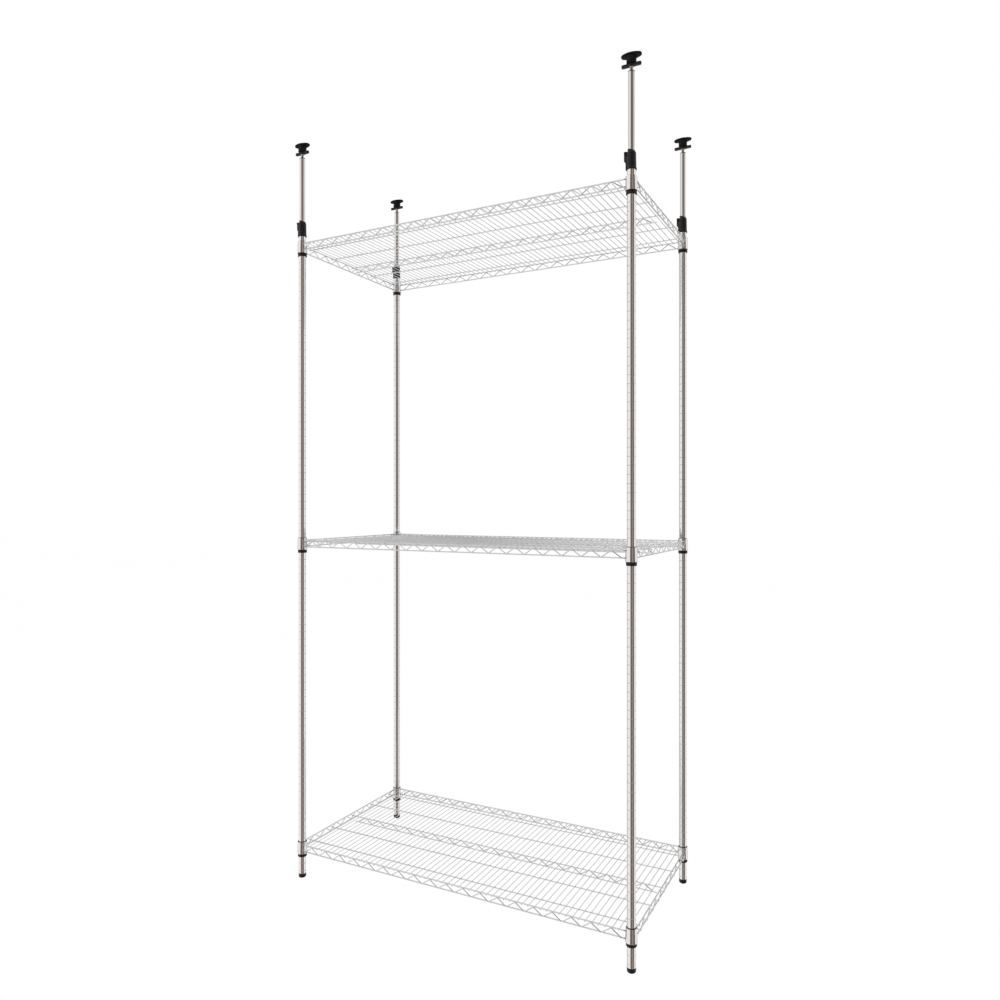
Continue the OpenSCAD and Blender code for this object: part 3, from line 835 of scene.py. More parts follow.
@dataclass
class Shelf:
    """Welded wires of one shelf, with heights counted from its groove."""

    level: Level
    corners: ShelfCorners = field(default_factory=ShelfCorners)
    rail_r: float = 2.1
    deck_r: float = 1.2
    support_r: float = 1.8
    snake_r: float = 1.6
    deck_pitch: float = 20.2
    deck_each_side: int = 29
    support_pitch: float = 120.4
    support_each_side: int = 2
    rail_up: float = 15.6
    rail_down: float = 5.9
    centre_down: float = 10.1
    rail_out_y: float = 10.5
    rail_out_x: float = 9.0
    half_wave_long: float = 30.3
    half_wave_short: float = 30.1
    waves_long: int = 19
    waves_short: int = 9
    bend_r: float = 4.0
    inset: float = 1.2
    weld: float = 0.05
    snake_gap: float = 0.02
    edge_bead: Triple = (2.3, 0.9, 1.3)
    rail_end_bead: Triple = (1.3, 2.6, 2.5)
    centre_bead: Triple = (2.2, 0.8, 1.2)
    cross_bead: Triple = (1.7, 1.7, 0.75)
    deck_end_bead: Triple = (1.7, 1.5, 0.75)
    rail_rows: tuple[float, ...] = (-1.0, -0.985, -0.5, 0.0, 0.5, 0.985, 1.0)

    @property
    def deck_up(self) -> float:
        """Height of the surface wires."""
        return self.rail_up - self.rail_r - self.deck_r - self.weld

    @property
    def support_up(self) -> float:
        """Height of the wires that carry the surface."""
        return self.deck_up - self.deck_r - self.support_r - self.weld

    @property
    def snake_out(self) -> float:
        """Distance from a rail's axis to the bent wire's."""
        return self.rail_r + self.snake_r + self.weld + self.snake_gap

    def snake(self, count: int, half: float, low: float, high: float, first_up: bool, y: float) -> Array:
        """Bent wire along X.

        Its legs climb at slope a with tan a = rise / half, and each vertex is replaced by an arc of
        the bend's radius that touches both legs.

        Args:
            count: Half waves on each side of the middle.
            half: Length of a half wave.
            low: Lowest point of the axis.
            high: Highest point of the axis.
            first_up: Whether the middle bend is a high one.
            y: Place of the wire's plane.

        Returns:
            One grid of points.
        """
        steep = math.atan2(high - low, half)
        rise = high - low + 2 * self.bend_r * (1 / math.cos(steep) - 1)
        slope = math.atan2(rise, half)
        k = np.arange(-count, count + 1)
        up = np.where((np.abs(k) % 2 == 0) == first_up, 1.0, -1.0)
        middle = (low + high) / 2
        inner, sign = k[1:-1, None], up[1:-1, None]
        angle = np.linspace(-slope, slope, 7)[None]
        bend_x = inner * half + self.bend_r * np.sin(angle)
        bend_z = middle + sign * (rise / 2 - self.bend_r / math.cos(slope) + self.bend_r * np.cos(angle))
        tangent_x, tangent_z = np.cos(angle) + 0 * sign, -sign * np.sin(angle)
        end_z = middle + up[[0, -1]] * rise / 2
        end_tangent = -up[0] * math.sin(slope), up[-1] * math.sin(slope)
        x = np.concatenate([[k[0] * half], bend_x.ravel(), [k[-1] * half]])
        z = np.concatenate([[end_z[0]], bend_z.ravel(), [end_z[1]]])
        tx = np.concatenate([[math.cos(slope)], tangent_x.ravel(), [math.cos(slope)]])
        tz = np.concatenate([[end_tangent[0]], tangent_z.ravel(), [end_tangent[1]]])
        path = np.stack([x, np.full_like(x, y), z], axis=1)
        tangents = np.stack([tx, np.zeros_like(tx), tz], axis=1)
        return tube(path, tangents, np.array([0.0, 1.0, 0.0]), self.snake_r)

    def coped_rail(self, end: float, out: float, z: float, sides: int = 20) -> Array:
        """Rail along X whose ends meet the collars.

        On the ring at angle a the axis coordinate of each end is e - sqrt(R(z)^2 - y^2), where the
        rail's surface meets the collar's cone of radius R about the post at e.

        Args:
            end: Distance from the middle to the post's axis.
            out: Distance of the rail out from that axis.
            z: Height of the rail.
            sides: Columns round the rail.

        Returns:
            One grid, 1 by 7 by sides by 3.
        """
        angle = round_angles(sides)
        y, up = -out + self.rail_r * np.cos(angle), z + self.rail_r * np.sin(angle)
        cone = self.corners.cone(up) + self.weld
        reach = end - np.sqrt(cone**2 - y**2)
        rows = np.array(self.rail_rows)[:, None]
        x = rows * reach
        return np.stack([x, np.broadcast_to(y, x.shape), np.broadcast_to(up, x.shape)], axis=-1)[None]

    def edge(self, side: Side) -> None:
        """Makes one edge's truss: two rails, the bent wire and its welds.

        Args:
            side: The edge.
        """
        span, depth = (LAYOUT.half_x, LAYOUT.half_y) if side.is_long else (LAYOUT.half_y, LAYOUT.half_x)
        out = self.rail_out_y if side.is_long else self.rail_out_x
        half = self.half_wave_long if side.is_long else self.half_wave_short
        count = self.waves_long if side.is_long else self.waves_short
        low, high = self.inset - self.rail_down, self.rail_up - self.inset
        parts = [self.coped_rail(span, out, z) for z in (self.rail_up, -self.rail_down)]
        parts.append(self.snake(count, half, low, high, side.is_long, -out - self.snake_out))
        k = np.arange(-count, count + 1)
        up = (np.abs(k) % 2 == 0) == side.is_long
        touch = np.stack([k * half, np.full(len(k), -out - self.rail_r), np.where(up, high, low)], axis=1)
        parts.append(beads(touch, self.edge_bead))
        reach = span - math.sqrt(self.corners.cone(self.rail_up) ** 2 - out**2)
        ends = [[x, -out, z] for x in (-reach, reach) for z in (self.rail_up, -self.rail_down)]
        parts.append(beads(np.array(ends), self.rail_end_bead, 12))
        shells = Shells()
        for part in parts:
            shells.add(turned(part + [0, -depth, LAYOUT.shelf_z(self.level)], side.value))
        node = f"{self.level.label}_shelf_{side.label}_truss"
        dress(shells, f"{node}_wires", WIRE_CHROME, "shelving_frame", [node])

    def centre(self) -> None:
        """Makes the truss under the middle support wire."""
        end = LAYOUT.half_x - 3 * 2 * self.snake_r  # three wires short of the posts' axes
        low, high = self.inset - self.centre_down, self.support_up - self.inset
        lift = LAYOUT.lift(self.level)
        side = self.support_r + self.snake_out - self.rail_r
        lower = rods([[-end, 0, -self.centre_down]], [[end, 0, -self.centre_down]], self.support_r, 18)
        wave = self.snake(self.waves_long, self.half_wave_long, low, high, True, side)
        k = np.arange(-self.waves_long, self.waves_long + 1)
        height = np.where(k % 2 == 0, high, low)
        touch = np.stack([k * self.half_wave_long, np.full(len(k), self.support_r), height], axis=1)
        shells = Shells()
        for part in (lower, wave, beads(touch, self.centre_bead)):
            shells.add(part + lift)
        node = f"{self.level.label}_shelf_centre_truss"
        dress(shells, f"{node}_wires", WIRE_CHROME, "shelving_frame", [node])

    def deck_half_length(self, x: Array) -> Array:
        """Half lengths of the surface wires: to the rails' outside, or short of a collar.

        Args:
            x: Places of the wires.

        Returns:
            Their half lengths.
        """
        beside = LAYOUT.half_x - np.abs(x) - self.deck_r
        clear = self.corners.cone(self.deck_up - self.deck_r) + 2 * self.weld
        chord = np.sqrt(np.maximum(clear**2 - beside**2, 0.0))
        full = LAYOUT.half_y + self.rail_out_y + self.rail_r
        return np.where(beside > clear, full, LAYOUT.half_y - chord)

    def deck(self) -> None:
        """Makes the surface wires, the wires under them and the welds where they cross."""
        lift = LAYOUT.lift(self.level)
        x = np.arange(-self.deck_each_side, self.deck_each_side + 1) * self.deck_pitch
        y = np.arange(-self.support_each_side, self.support_each_side + 1) * self.support_pitch
        half = self.deck_half_length(x)
        height = np.full_like(x, self.deck_up)
        across = rods(np.stack([x, -half, height], axis=1), np.stack([x, half, height], axis=1), self.deck_r)
        reach = LAYOUT.half_x + self.rail_out_x + self.rail_r
        under = np.full_like(y, self.support_up)
        along = rods(np.stack([-reach + 0 * y, y, under], axis=1),
                     np.stack([reach + 0 * y, y, under], axis=1), self.support_r, 18)
        grid_x, grid_y = np.meshgrid(x, y, indexing="ij")
        cross = np.stack([grid_x, grid_y, np.full_like(grid_x, self.deck_up - self.deck_r)], axis=-1)
        inner = x[half > LAYOUT.half_y]
        rail_y = LAYOUT.half_y + self.rail_out_y
        rail = np.array([[place, sign * rail_y, self.deck_up + self.deck_r]
                         for place in inner for sign in (-1, 1)])
        shells = Shells()
        for part in (across, along, beads(cross.reshape(-1, 3), self.cross_bead),
                     beads(rail, self.deck_end_bead)):
            shells.add(part + lift)
        node = f"{self.level.label}_shelf_deck"
        dress(shells, f"{node}_wires", WIRE_CHROME, "shelving_frame", [node])

    def build(self) -> None:
        """Makes the whole shelf."""
        self.deck()
        self.centre()
        for side in Side:
            self.edge(side)
        self.corners.collars(self.level)


@dataclass
class JointClamp:
    """Moulded housing over the joint of post and pole, with its cam lever."""

    corner: Corner
    height: float = 51.5
    grip: float = 34.0
    lip_r: float = 15.0
    body_r: float = 13.0
    throat_r: float = 10.9
    tongue_h: float = 8.0
    tongue_low: float = 1.0
    pivot_x: float = -16.4
    pivot_z: float = 48.2
    ear_in: float = 5.15
    ear_t: float = 2.4
    ear_r: float = 3.9
    lever_w: float = 10.0
    lever_len: float = 24.0
    lever_front: float = -4.0
    lever_back: float = 1.7
    head_r: float = 3.3
    cam_reach: float = 6.6
    cam_w: float = 7.0
    pin_r: float = 1.5
    block_out: float = 15.3
    block_half: float = 7.0
    block_top: float = 23.0
    neck_bore: float = 9.6
    window_half: float = 4.3
    window_low: float = 41.0
    window_top: float = 50.8
    window_depth: float = 2.6
    window_floor: float = 10.2
    parting_z: float = 24.5
    parting_wave: float = 1.4
    parting_depth: float = 0.3
    parting_half: float = 0.7

    @property
    def foot(self) -> Array:
        """Point on the post's axis at the housing's lower face."""
        return LAYOUT.axis(self.corner) + [0, 0, LAYOUT.clamp_z]

    def wall(self) -> Array:
        """Housing's wall as a ring of rows.

        The outside follows a profile r(z) less the depth of the cam's window, a product of ramps in
        y and z on the lever's side, and less a shallow parting groove exp(-(d/w)^2) round a line
        that waves as cos 2a. The rows over the body climb towards the lever's side by (1 - cos a) / 2.

        Returns:
            One grid of points about the housing's foot.
        """
        edge = np.radians([8.0, 17.0, 19.0, 30.0])
        angle = np.sort(np.concatenate([round_angles(72), math.pi + edge, math.pi - edge]))
        outline = [[LAYOUT.post_r + LAYOUT.fit, 0.0], [self.lip_r, 0.0], [self.lip_r, 3.0],
                   [self.body_r + 0.75, 8.0],
                   [self.body_r + 0.5, 24.0], [self.body_r + 0.3, 30.0], [self.body_r, self.height - 3.5],
                   [self.throat_r, self.height]]
        outside = soften(outline, [0.8, 1.2, 3.0, 1.0, 1.0, 1.4], 4, closed=False)
        heights = outside[:, 1]
        extra = np.concatenate([np.linspace(17.0, 31.0, 29),
                                [self.window_low, 41.4, 41.8, 44.0, 50.0, 50.4, self.window_top]])
        keep = extra[np.abs(extra[:, None] - heights[None]).min(axis=1) > 0.15]
        climbing = heights > 3.0
        level = np.sort(np.concatenate([heights[climbing], keep]))
        radius = np.interp(level, heights[climbing], outside[climbing, 0])
        outer_r = np.concatenate([outside[~climbing, 0], radius])[:, None] * np.ones_like(angle)
        outer_z = np.concatenate([heights[~climbing], level])[:, None] * np.ones_like(angle)
        line = self.parting_z + self.parting_wave * np.cos(2 * angle + 0.6)
        parting = np.exp(-(((outer_z - line) / self.parting_half) ** 2)) * (outer_z > 10)
        outer_r = outer_r - self.parting_depth * parting
        across = np.abs(outer_r * np.sin(angle)) + 20 * (np.cos(angle) > 0)
        window = np.clip((self.window_half - across) / 0.5, 0, 1)
        window = window * np.clip((outer_z - self.window_low) / 0.5, 0, 1)
        window = window * np.clip((self.window_top - outer_z) / 0.4, 0, 1)
        outer_r = outer_r - np.minimum(self.window_depth, outer_r - self.window_floor) * window
        rise = (self.tongue_h - self.tongue_low) * (1 - np.cos(angle)) / 2 + self.tongue_low
        share = np.array([0.3, 0.8, 0.95, 1.0, 1.0, 0.95])[:, None]
        throat, neck, bore = self.throat_r, self.neck_bore, LAYOUT.post_r + LAYOUT.fit
        tongue_r = np.array([throat, throat, throat - 0.1, throat - 0.4, neck + 0.25, neck])
        inner = np.array([[neck, self.grip + 0.4], [neck, self.grip], [bore, self.grip],
                          [bore, self.grip - 0.4], [bore, 0.4]])
        ones = np.ones_like(angle)
        radii = np.vstack([outer_r, tongue_r[:, None] * ones, inner[:, :1] * ones])
        heights = np.vstack([outer_z, self.height + share * rise, inner[:, 1:] * ones])
        return polar(radii, angle, heights)[None]

    def ear(self, side: int) -> Array:
        """One of the two ears that hold the lever's pin, a plate in the XZ plane.

        Args:
            side: 1 for the ear on the side of +Y, -1 for the other.

        Returns:
            One grid of points about the housing's foot.
        """
        top = np.radians(np.linspace(-90, 90, 9)) + math.pi
        round_end = np.stack([self.pivot_x + self.ear_r * np.cos(top),
                              self.pivot_z - self.ear_r * np.sin(top)], axis=1)
        root = [[-10.2, self.pivot_z - self.ear_r - 4.0], [-10.2, self.pivot_z + 2.0]]
        outline = np.vstack([root, round_end])
        rim = side_rim(0.9, 0.0, self.ear_t, 0.5)
        plate = slab(self.anticlockwise(outline), rim)
        place = self.ear_in if side > 0 else -self.ear_in - self.ear_t
        return self.upright(plate, place)

    def block(self) -> Array:
        """Straight block under the lever, whose back follows the housing's wall.

        Each row is a flat outline at its height: an arc of radius R inside the wall, from y = w to
        y = -w, and then the front face at x = -f with its corners softened.

        Returns:
            One grid of points about the housing's foot.
        """
        top = self.block_top
        rows = [(0.5, 0.0, 0.5), (0.65, 0.0, 0.15), (1.0, 0.0, 0.0), (top - 2.4, 0.0, 0.0),
                (top - 1.7, 0.25, 0.0), (top - 0.4, 1.6, 0.1), (top, 2.0, 0.5)]
        back_r, grid = LAYOUT.post_r + 0.2, []
        for z, chamfer, inset in rows:
            half, front = self.block_half - inset, self.block_out - chamfer - inset
            swing = math.asin(half / back_r)
            arc = math.pi + np.linspace(-swing, swing, 11)
            back = np.stack([back_r * np.cos(arc), back_r * np.sin(arc)], axis=1)
            face = np.array([[back[-1, 0], -half], [-front, -half], [-front, half], [back[0, 0], half]])
            corner = soften(face, 0.9, 3, closed=False)[1:-1]
            flat = np.vstack([back, corner])
            grid.append(np.column_stack([flat, np.full(len(flat), z)]))
        return np.array(grid)[None]

    @staticmethod
    def anticlockwise(outline: Array) -> Array:
        """Outline in the order that keeps its inside on the left, by its signed area.

        Args:
            outline: Closed outline, n by 2.

        Returns:
            The outline, turned over where it ran clockwise.
        """
        nxt = np.roll(outline, -1, axis=0)
        area = (outline[:, 0] * nxt[:, 1] - outline[:, 1] * nxt[:, 0]).sum()
        return outline if area > 0 else outline[::-1]

    @staticmethod
    def upright(plate: Array, y: float) -> Array:
        """Stands a plate of the XY plane in the XZ plane, with its thickness along Y from y."""
        return np.stack([plate[..., 0], plate[..., 2] + y, plate[..., 1]], axis=-1)

    def lever(self) -> Shells:
        """Lever with its cam nose and pin.

        Returns:
            Its shells.
        """
        head = np.radians(np.linspace(-35, 160, 14))
        crown = np.stack([self.head_r * np.cos(head), self.head_r * np.sin(head)], axis=1)
        arm = np.array([[self.lever_front, -1.5], [self.lever_front, 3 - self.lever_len],
                        [self.lever_front + 1.2, -self.lever_len], [self.lever_back - 1, -self.lever_len],
                        [self.lever_back, 2 - self.lever_len], [self.lever_back, -3.2]])
        arm = soften(arm, [1.5, 1.0, 0.9, 0.6, 0.8, 0.6], 3)
        outline = self.anticlockwise(np.vstack([crown, arm]))
        half = self.lever_w / 2
        rim = side_rim(1.0, -half, half, 0.7, 4)
        nose = np.array([[-1.0, -2.4], [self.cam_reach - 1.2, -2.2], [self.cam_reach, -0.9],
                         [self.cam_reach, 0.8], [self.cam_reach - 1.2, 2.0], [-1.0, 2.4]])
        cam_half = self.cam_w / 2
        cam_rim = side_rim(0.6, -cam_half, cam_half, 0.4)
        place = self.foot + [self.pivot_x, 0, self.pivot_z]
        reach = self.ear_in + self.ear_t
        shells = Shells()
        for part in (self.upright(slab(outline, rim), 0.0),
                     self.upright(slab(self.anticlockwise(soften(nose, 0.5, 3)), cam_rim), 0.0),
                     rods([[0, -reach, 0]], [[0, reach, 0]], self.pin_r, 24)):
            shells.add(part + place)
        return shells

    def build(self) -> None:
        """Makes the housing and the lever."""
        shells = Shells().add(self.wall() + self.foot, ring=True)
        for side in (-1, 1):
            shells.add(self.ear(side) + self.foot)
        shells.add(self.block() + self.foot)
        label = self.corner.label
        clamp, lever = f"joint_clamp_{label}", f"clamp_lever_{label}"
        dress(shells, f"{clamp}_housing", BLACK_PLASTIC, "shelving_frame", [clamp])
        dress(self.lever(), f"{lever}_arm", BLACK_PLASTIC, f"lever_{label}", [lever])


@dataclass
class UpperPole:
    """Sliding pole with the threaded plug in its top."""

    corner: Corner
    wall: float = 1.0
    edge: float = 0.3
    nut_h: float = 20.0
    flange_h: float = 2.0
    flange_r: float = 9.85

    def build(self) -> None:
        """Makes the pole and its plug."""
        label, centre = self.corner.label, LAYOUT.axis(self.corner)
        low, top, bore = LAYOUT.pole_low, LAYOUT.pole_top, LAYOUT.pole_r - self.wall
        wall = tube_wall(bore, LAYOUT.pole_r, low, top, self.edge)
        dress(Shells().add(revolve(wall, centre, 48), ring=True), f"upper_pole_{label}_tube", POLE_CHROME,
              f"pole_{label}", [f"upper_pole_{label}"])
        hole, plug = LAYOUT.rod_r + LAYOUT.rod_gap, bore - LAYOUT.fit
        outline = [[hole, top - self.nut_h], [plug, top - self.nut_h], [plug, top], [self.flange_r, top],
                   [self.flange_r, top + self.flange_h], [hole, top + self.flange_h]]
        nut = soften(outline, [0.3, 0.5, 0.1, 0.2, 0.6, 0.4], 4)
        dress(Shells().add(revolve(nut, centre, 48), ring=True), f"pole_nut_{label}_plug", BLACK_PLASTIC,
              f"pole_{label}", [f"pole_nut_{label}"])


@dataclass
class CeilingJack:
    """Screw jack on a pole: threaded rod, wing handle and ceiling pad."""

    corner: Corner
    thread_pitch: float = 1.25
    thread_depth: float = 0.7
    rod_low: float = 2480.0
    spigot_h: float = 12.0
    socket_over: float = 0.3
    wing_len: float = 58.0
    wing_w: float = 10.0
    wing_h: float = 8.0
    hub_r: float = 8.0
    pad_len: float = 59.5
    pad_w: float = 34.0
    pad_t: float = 5.0
    step_h: float = 1.0
    step_inset: float = 3.4
    groove_pitch: float = 6.0
    groove_half: float = 0.5
    groove_depth: float = 0.6
    grooves_each_side: int = 4
    neck_r: float = 14.3
    neck_h: float = 20.0
    pad_sides: int = 96
    near_share: float = 0.353
    end_share: float = 0.382
    hub_power: float = 9.0

    def rod(self) -> Shells:
        """Rod with a true helix.

        The radius is R - d (1 - cos(2 pi (z / p - a / 2 pi))) / 2 at angle a and height z, and the
        depth d fades to nothing at the rod's ends.

        Returns:
            Its shell.
        """
        top = LAYOUT.pad_z + self.spigot_h
        threaded = np.arange(self.rod_low + 0.4, LAYOUT.wing_z + 1.0, self.thread_pitch / 8)
        plain = [LAYOUT.wing_z + 2, top - 1.6, top - 1.0, top]
        z = np.concatenate([[self.rod_low], threaded, plain])[:, None]
        angle = round_angles(24)[None]
        fade = np.clip((z - self.rod_low) / 1.5, 0, 1) * np.clip((LAYOUT.wing_z + 1.0 - z) / 1.0, 0, 1)
        cut = self.thread_depth * fade * (1 - np.cos(2 * math.pi * z / self.thread_pitch - angle)) / 2
        ends = 0.8 * np.clip(1 - (z - self.rod_low) / 0.6, 0, 1) + np.clip(z - top + 1, 0, 1)
        radius = LAYOUT.rod_r - np.maximum(cut, ends)
        return Shells().add(polar(radius, angle, z)[None] + LAYOUT.axis(self.corner))

    def handle(self) -> Shells:
        """Wing handle: the larger of a stadium and a hub circle, joined as (s^n + h^n)^(1/n).

        Returns:
            Its shell.
        """
        arm, end = (self.wing_len - self.wing_w) / 2, self.wing_w / 2
        cap = np.radians(np.linspace(-90, 90, 19))
        tip = np.stack([arm + end * np.cos(cap), end * np.sin(cap)], axis=1)
        run = np.linspace(arm, -arm, 45)[1:-1]
        upper = np.stack([run, np.full_like(run, end)], axis=1)
        stadium = np.vstack([tip, upper, -tip, -upper])
        reach = np.linalg.norm(stadium, axis=1, keepdims=True)
        power = self.hub_power
        outline = stadium / reach * (reach**power + self.hub_r**power) ** (1 / power)
        outline[:, 0] = np.clip(outline[:, 0], -self.wing_len / 2, self.wing_len / 2)
        rim = side_rim(3.4, 0.0, self.wing_h, 2.3, 6)
        return Shells().add(slab(outline, rim) + LAYOUT.axis(self.corner) + [0, 0, LAYOUT.wing_z])

    def pad_reach(self, angle: Array, inset: float = 0.0) -> Array:
        """Distance from the pad's middle to its oval edge.

        The edge is the nearer of a side arc of radius R and whatever lies farther out, an end arc of
        radius r or the line x = m where the two arcs hand over.

        Args:
            angle: Directions from the middle, in radians.
            inset: Distance by which the oval is smaller all round.

        Returns:
            The distances.
        """
        long, wide = self.pad_len / 2, self.pad_w / 2
        near, end_r = self.near_share * self.pad_w, self.end_share * self.pad_w
        side_r = ((long - near) ** 2 + wide**2 - near**2) / (2 * (wide - near))
        meet = (long - near) * (1 + near / (side_r - near))
        cos, sin = np.abs(np.cos(angle)), np.abs(np.sin(angle))
        away, middle = side_r - wide, long - end_r
        side = np.sqrt((away * sin) ** 2 + (side_r - inset) ** 2 - away**2) - away * sin
        end = middle * cos + np.sqrt(np.maximum((end_r - inset) ** 2 - (middle * sin) ** 2, 0.0))
        return np.minimum(side, np.maximum(end, meet / np.maximum(cos, 1e-6)))

    def pad_outline(self, inset: float) -> Array:
        """Oval outline of the pad, 96 by 2, smaller all round by the inset.

        Args:
            inset: Distance by which the oval is smaller.

        Returns:
            The outline, 96 by 2.
        """
        angle = round_angles(self.pad_sides)
        reach = self.pad_reach(angle, inset)
        return np.stack([reach * np.cos(angle), reach * np.sin(angle)], axis=1)

    def plate(self) -> Array:
        """Pad's plate as cross-sections along X, with the grooves as dips in its top.

        A section at x is a rectangle of the oval's half width with softened corners, and its upper
        side lies at top - depth * g(x), where g ramps from 0 to 1 inside every groove.

        Returns:
            One grid, 1 by n by 14 by 3.
        """
        long, low, top = self.pad_len / 2, self.neck_h + self.step_h, self.neck_h + self.pad_t
        fine = np.radians(np.linspace(0.0, 90.0, 181))
        reach = self.pad_reach(fine)
        edge_x, edge_y = (reach * np.cos(fine))[::-1], (reach * np.sin(fine))[::-1]
        number = np.arange(-self.grooves_each_side, self.grooves_each_side)[:, None]
        groove = (number + 0.5) * self.groove_pitch
        walls = (groove + np.array([-1.25, -0.85, 0.85, 1.25]) * self.groove_half).ravel()
        tips = long - np.array([0.0, 0.05, 0.2, 0.5, 1.0, 1.8, 3.0, 4.5, 6.0, 8.0])
        lands = number.ravel() * self.groove_pitch
        x = np.unique(np.round(np.concatenate([walls, tips, -tips, lands]), 4))
        half = np.maximum(np.interp(np.abs(x), edge_x, edge_y), 0.4)
        away = np.abs(x % self.groove_pitch - self.groove_pitch / 2) / self.groove_half
        inside = np.abs(x) < self.grooves_each_side * self.groove_pitch
        dip = self.groove_depth * np.clip((1.25 - away) / 0.4, 0, 1) * inside
        shrink = 0.5 * np.clip(1 - (long - np.abs(x)) / 0.5, 0, 1) ** 2
        rows = []
        for place, w, down, tip in zip(x, half, dip, shrink):
            upper, under, bevel = top - down - tip, low + tip, min(0.5, 0.4 * w)
            third = 0.3 * bevel
            section = np.array([[w, under + bevel], [w, upper - bevel], [w - third, upper - third],
                                [w - bevel, upper], [0.0, upper], [bevel - w, upper],
                                [third - w, upper - third], [-w, upper - bevel], [-w, under + bevel],
                                [third - w, under + third], [bevel - w, under], [0.0, under],
                                [w - bevel, under], [w - third, under + third]])
            rows.append(np.column_stack([np.full(len(section), place), section]))
        return np.array(rows)[None]

    def pad(self) -> Shells:
        """Oval pad: a neck with a blind socket, a step and the grooved plate.

        Returns:
            Its shells.
        """
        hole, depth = LAYOUT.rod_r + LAYOUT.rod_gap, self.spigot_h + self.socket_over
        step = self.neck_h + self.step_h
        outline = [[0.3, depth], [hole, depth], [hole, 0.0], [self.neck_r, 0.0],
                   [self.neck_r - 0.3, self.neck_h / 2], [self.neck_r + 0.2, self.neck_h],
                   [self.neck_r + 0.2, step + 0.6], [0.3, step + 0.6]]
        profile = soften(outline, np.array([0.2, 0.2, 1.0, 3.0, 0.1, 0.1]), 4, closed=False)
        rim = [(self.neck_h, 0.4), (self.neck_h + 0.12, 0.1), (self.neck_h + 0.4, 0.0), (step + 0.3, 0.0)]
        step_rows = np.array([
            np.column_stack([self.pad_outline(self.step_inset + more), np.full(self.pad_sides, z)])
            for z, more in rim])
        place = LAYOUT.axis(self.corner) + [0, 0, LAYOUT.pad_z]
        shells = Shells()
        for part in (revolve(profile, np.zeros(3), 64), step_rows[None], self.plate()):
            shells.add(part + place)
        return shells

    def build(self) -> None:
        """Makes the rod, the handle and the pad."""
        label = self.corner.label
        rod, handle, pad = f"jack_rod_{label}", f"wing_handle_{label}", f"ceiling_pad_{label}"
        dress(self.rod(), f"{rod}_screw", ZINC, f"jack_{label}", [rod])
        dress(self.handle(), f"{handle}_grip", BLACK_COAT, f"jack_{label}", [handle])
        dress(self.pad(), f"{pad}_oval", BLACK_PAD, f"pad_{label}", [pad])


def finish_guides() -> None:
    """Gives the guide bushes inside the posts their finish."""
    for corner in Corner:
        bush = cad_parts[f"pole_guide_{corner.label}"]
        bush.data.materials.clear()
        bush.data.materials.append(BLACK_PLASTIC.material())


# Studio


@dataclass(frozen=True)
class Wall:
    """Curved wall far from the unit that only the chrome mirrors, by its compass angles and heights."""

    name: str
    span: tuple[float, float]
    rise: tuple[float, float]
    tint: Colour
    bright: Colour


@dataclass(frozen=True)
class Lamp:
    """Square soft box that points at the middle of the unit."""

    name: str
    place: Triple
    power: float


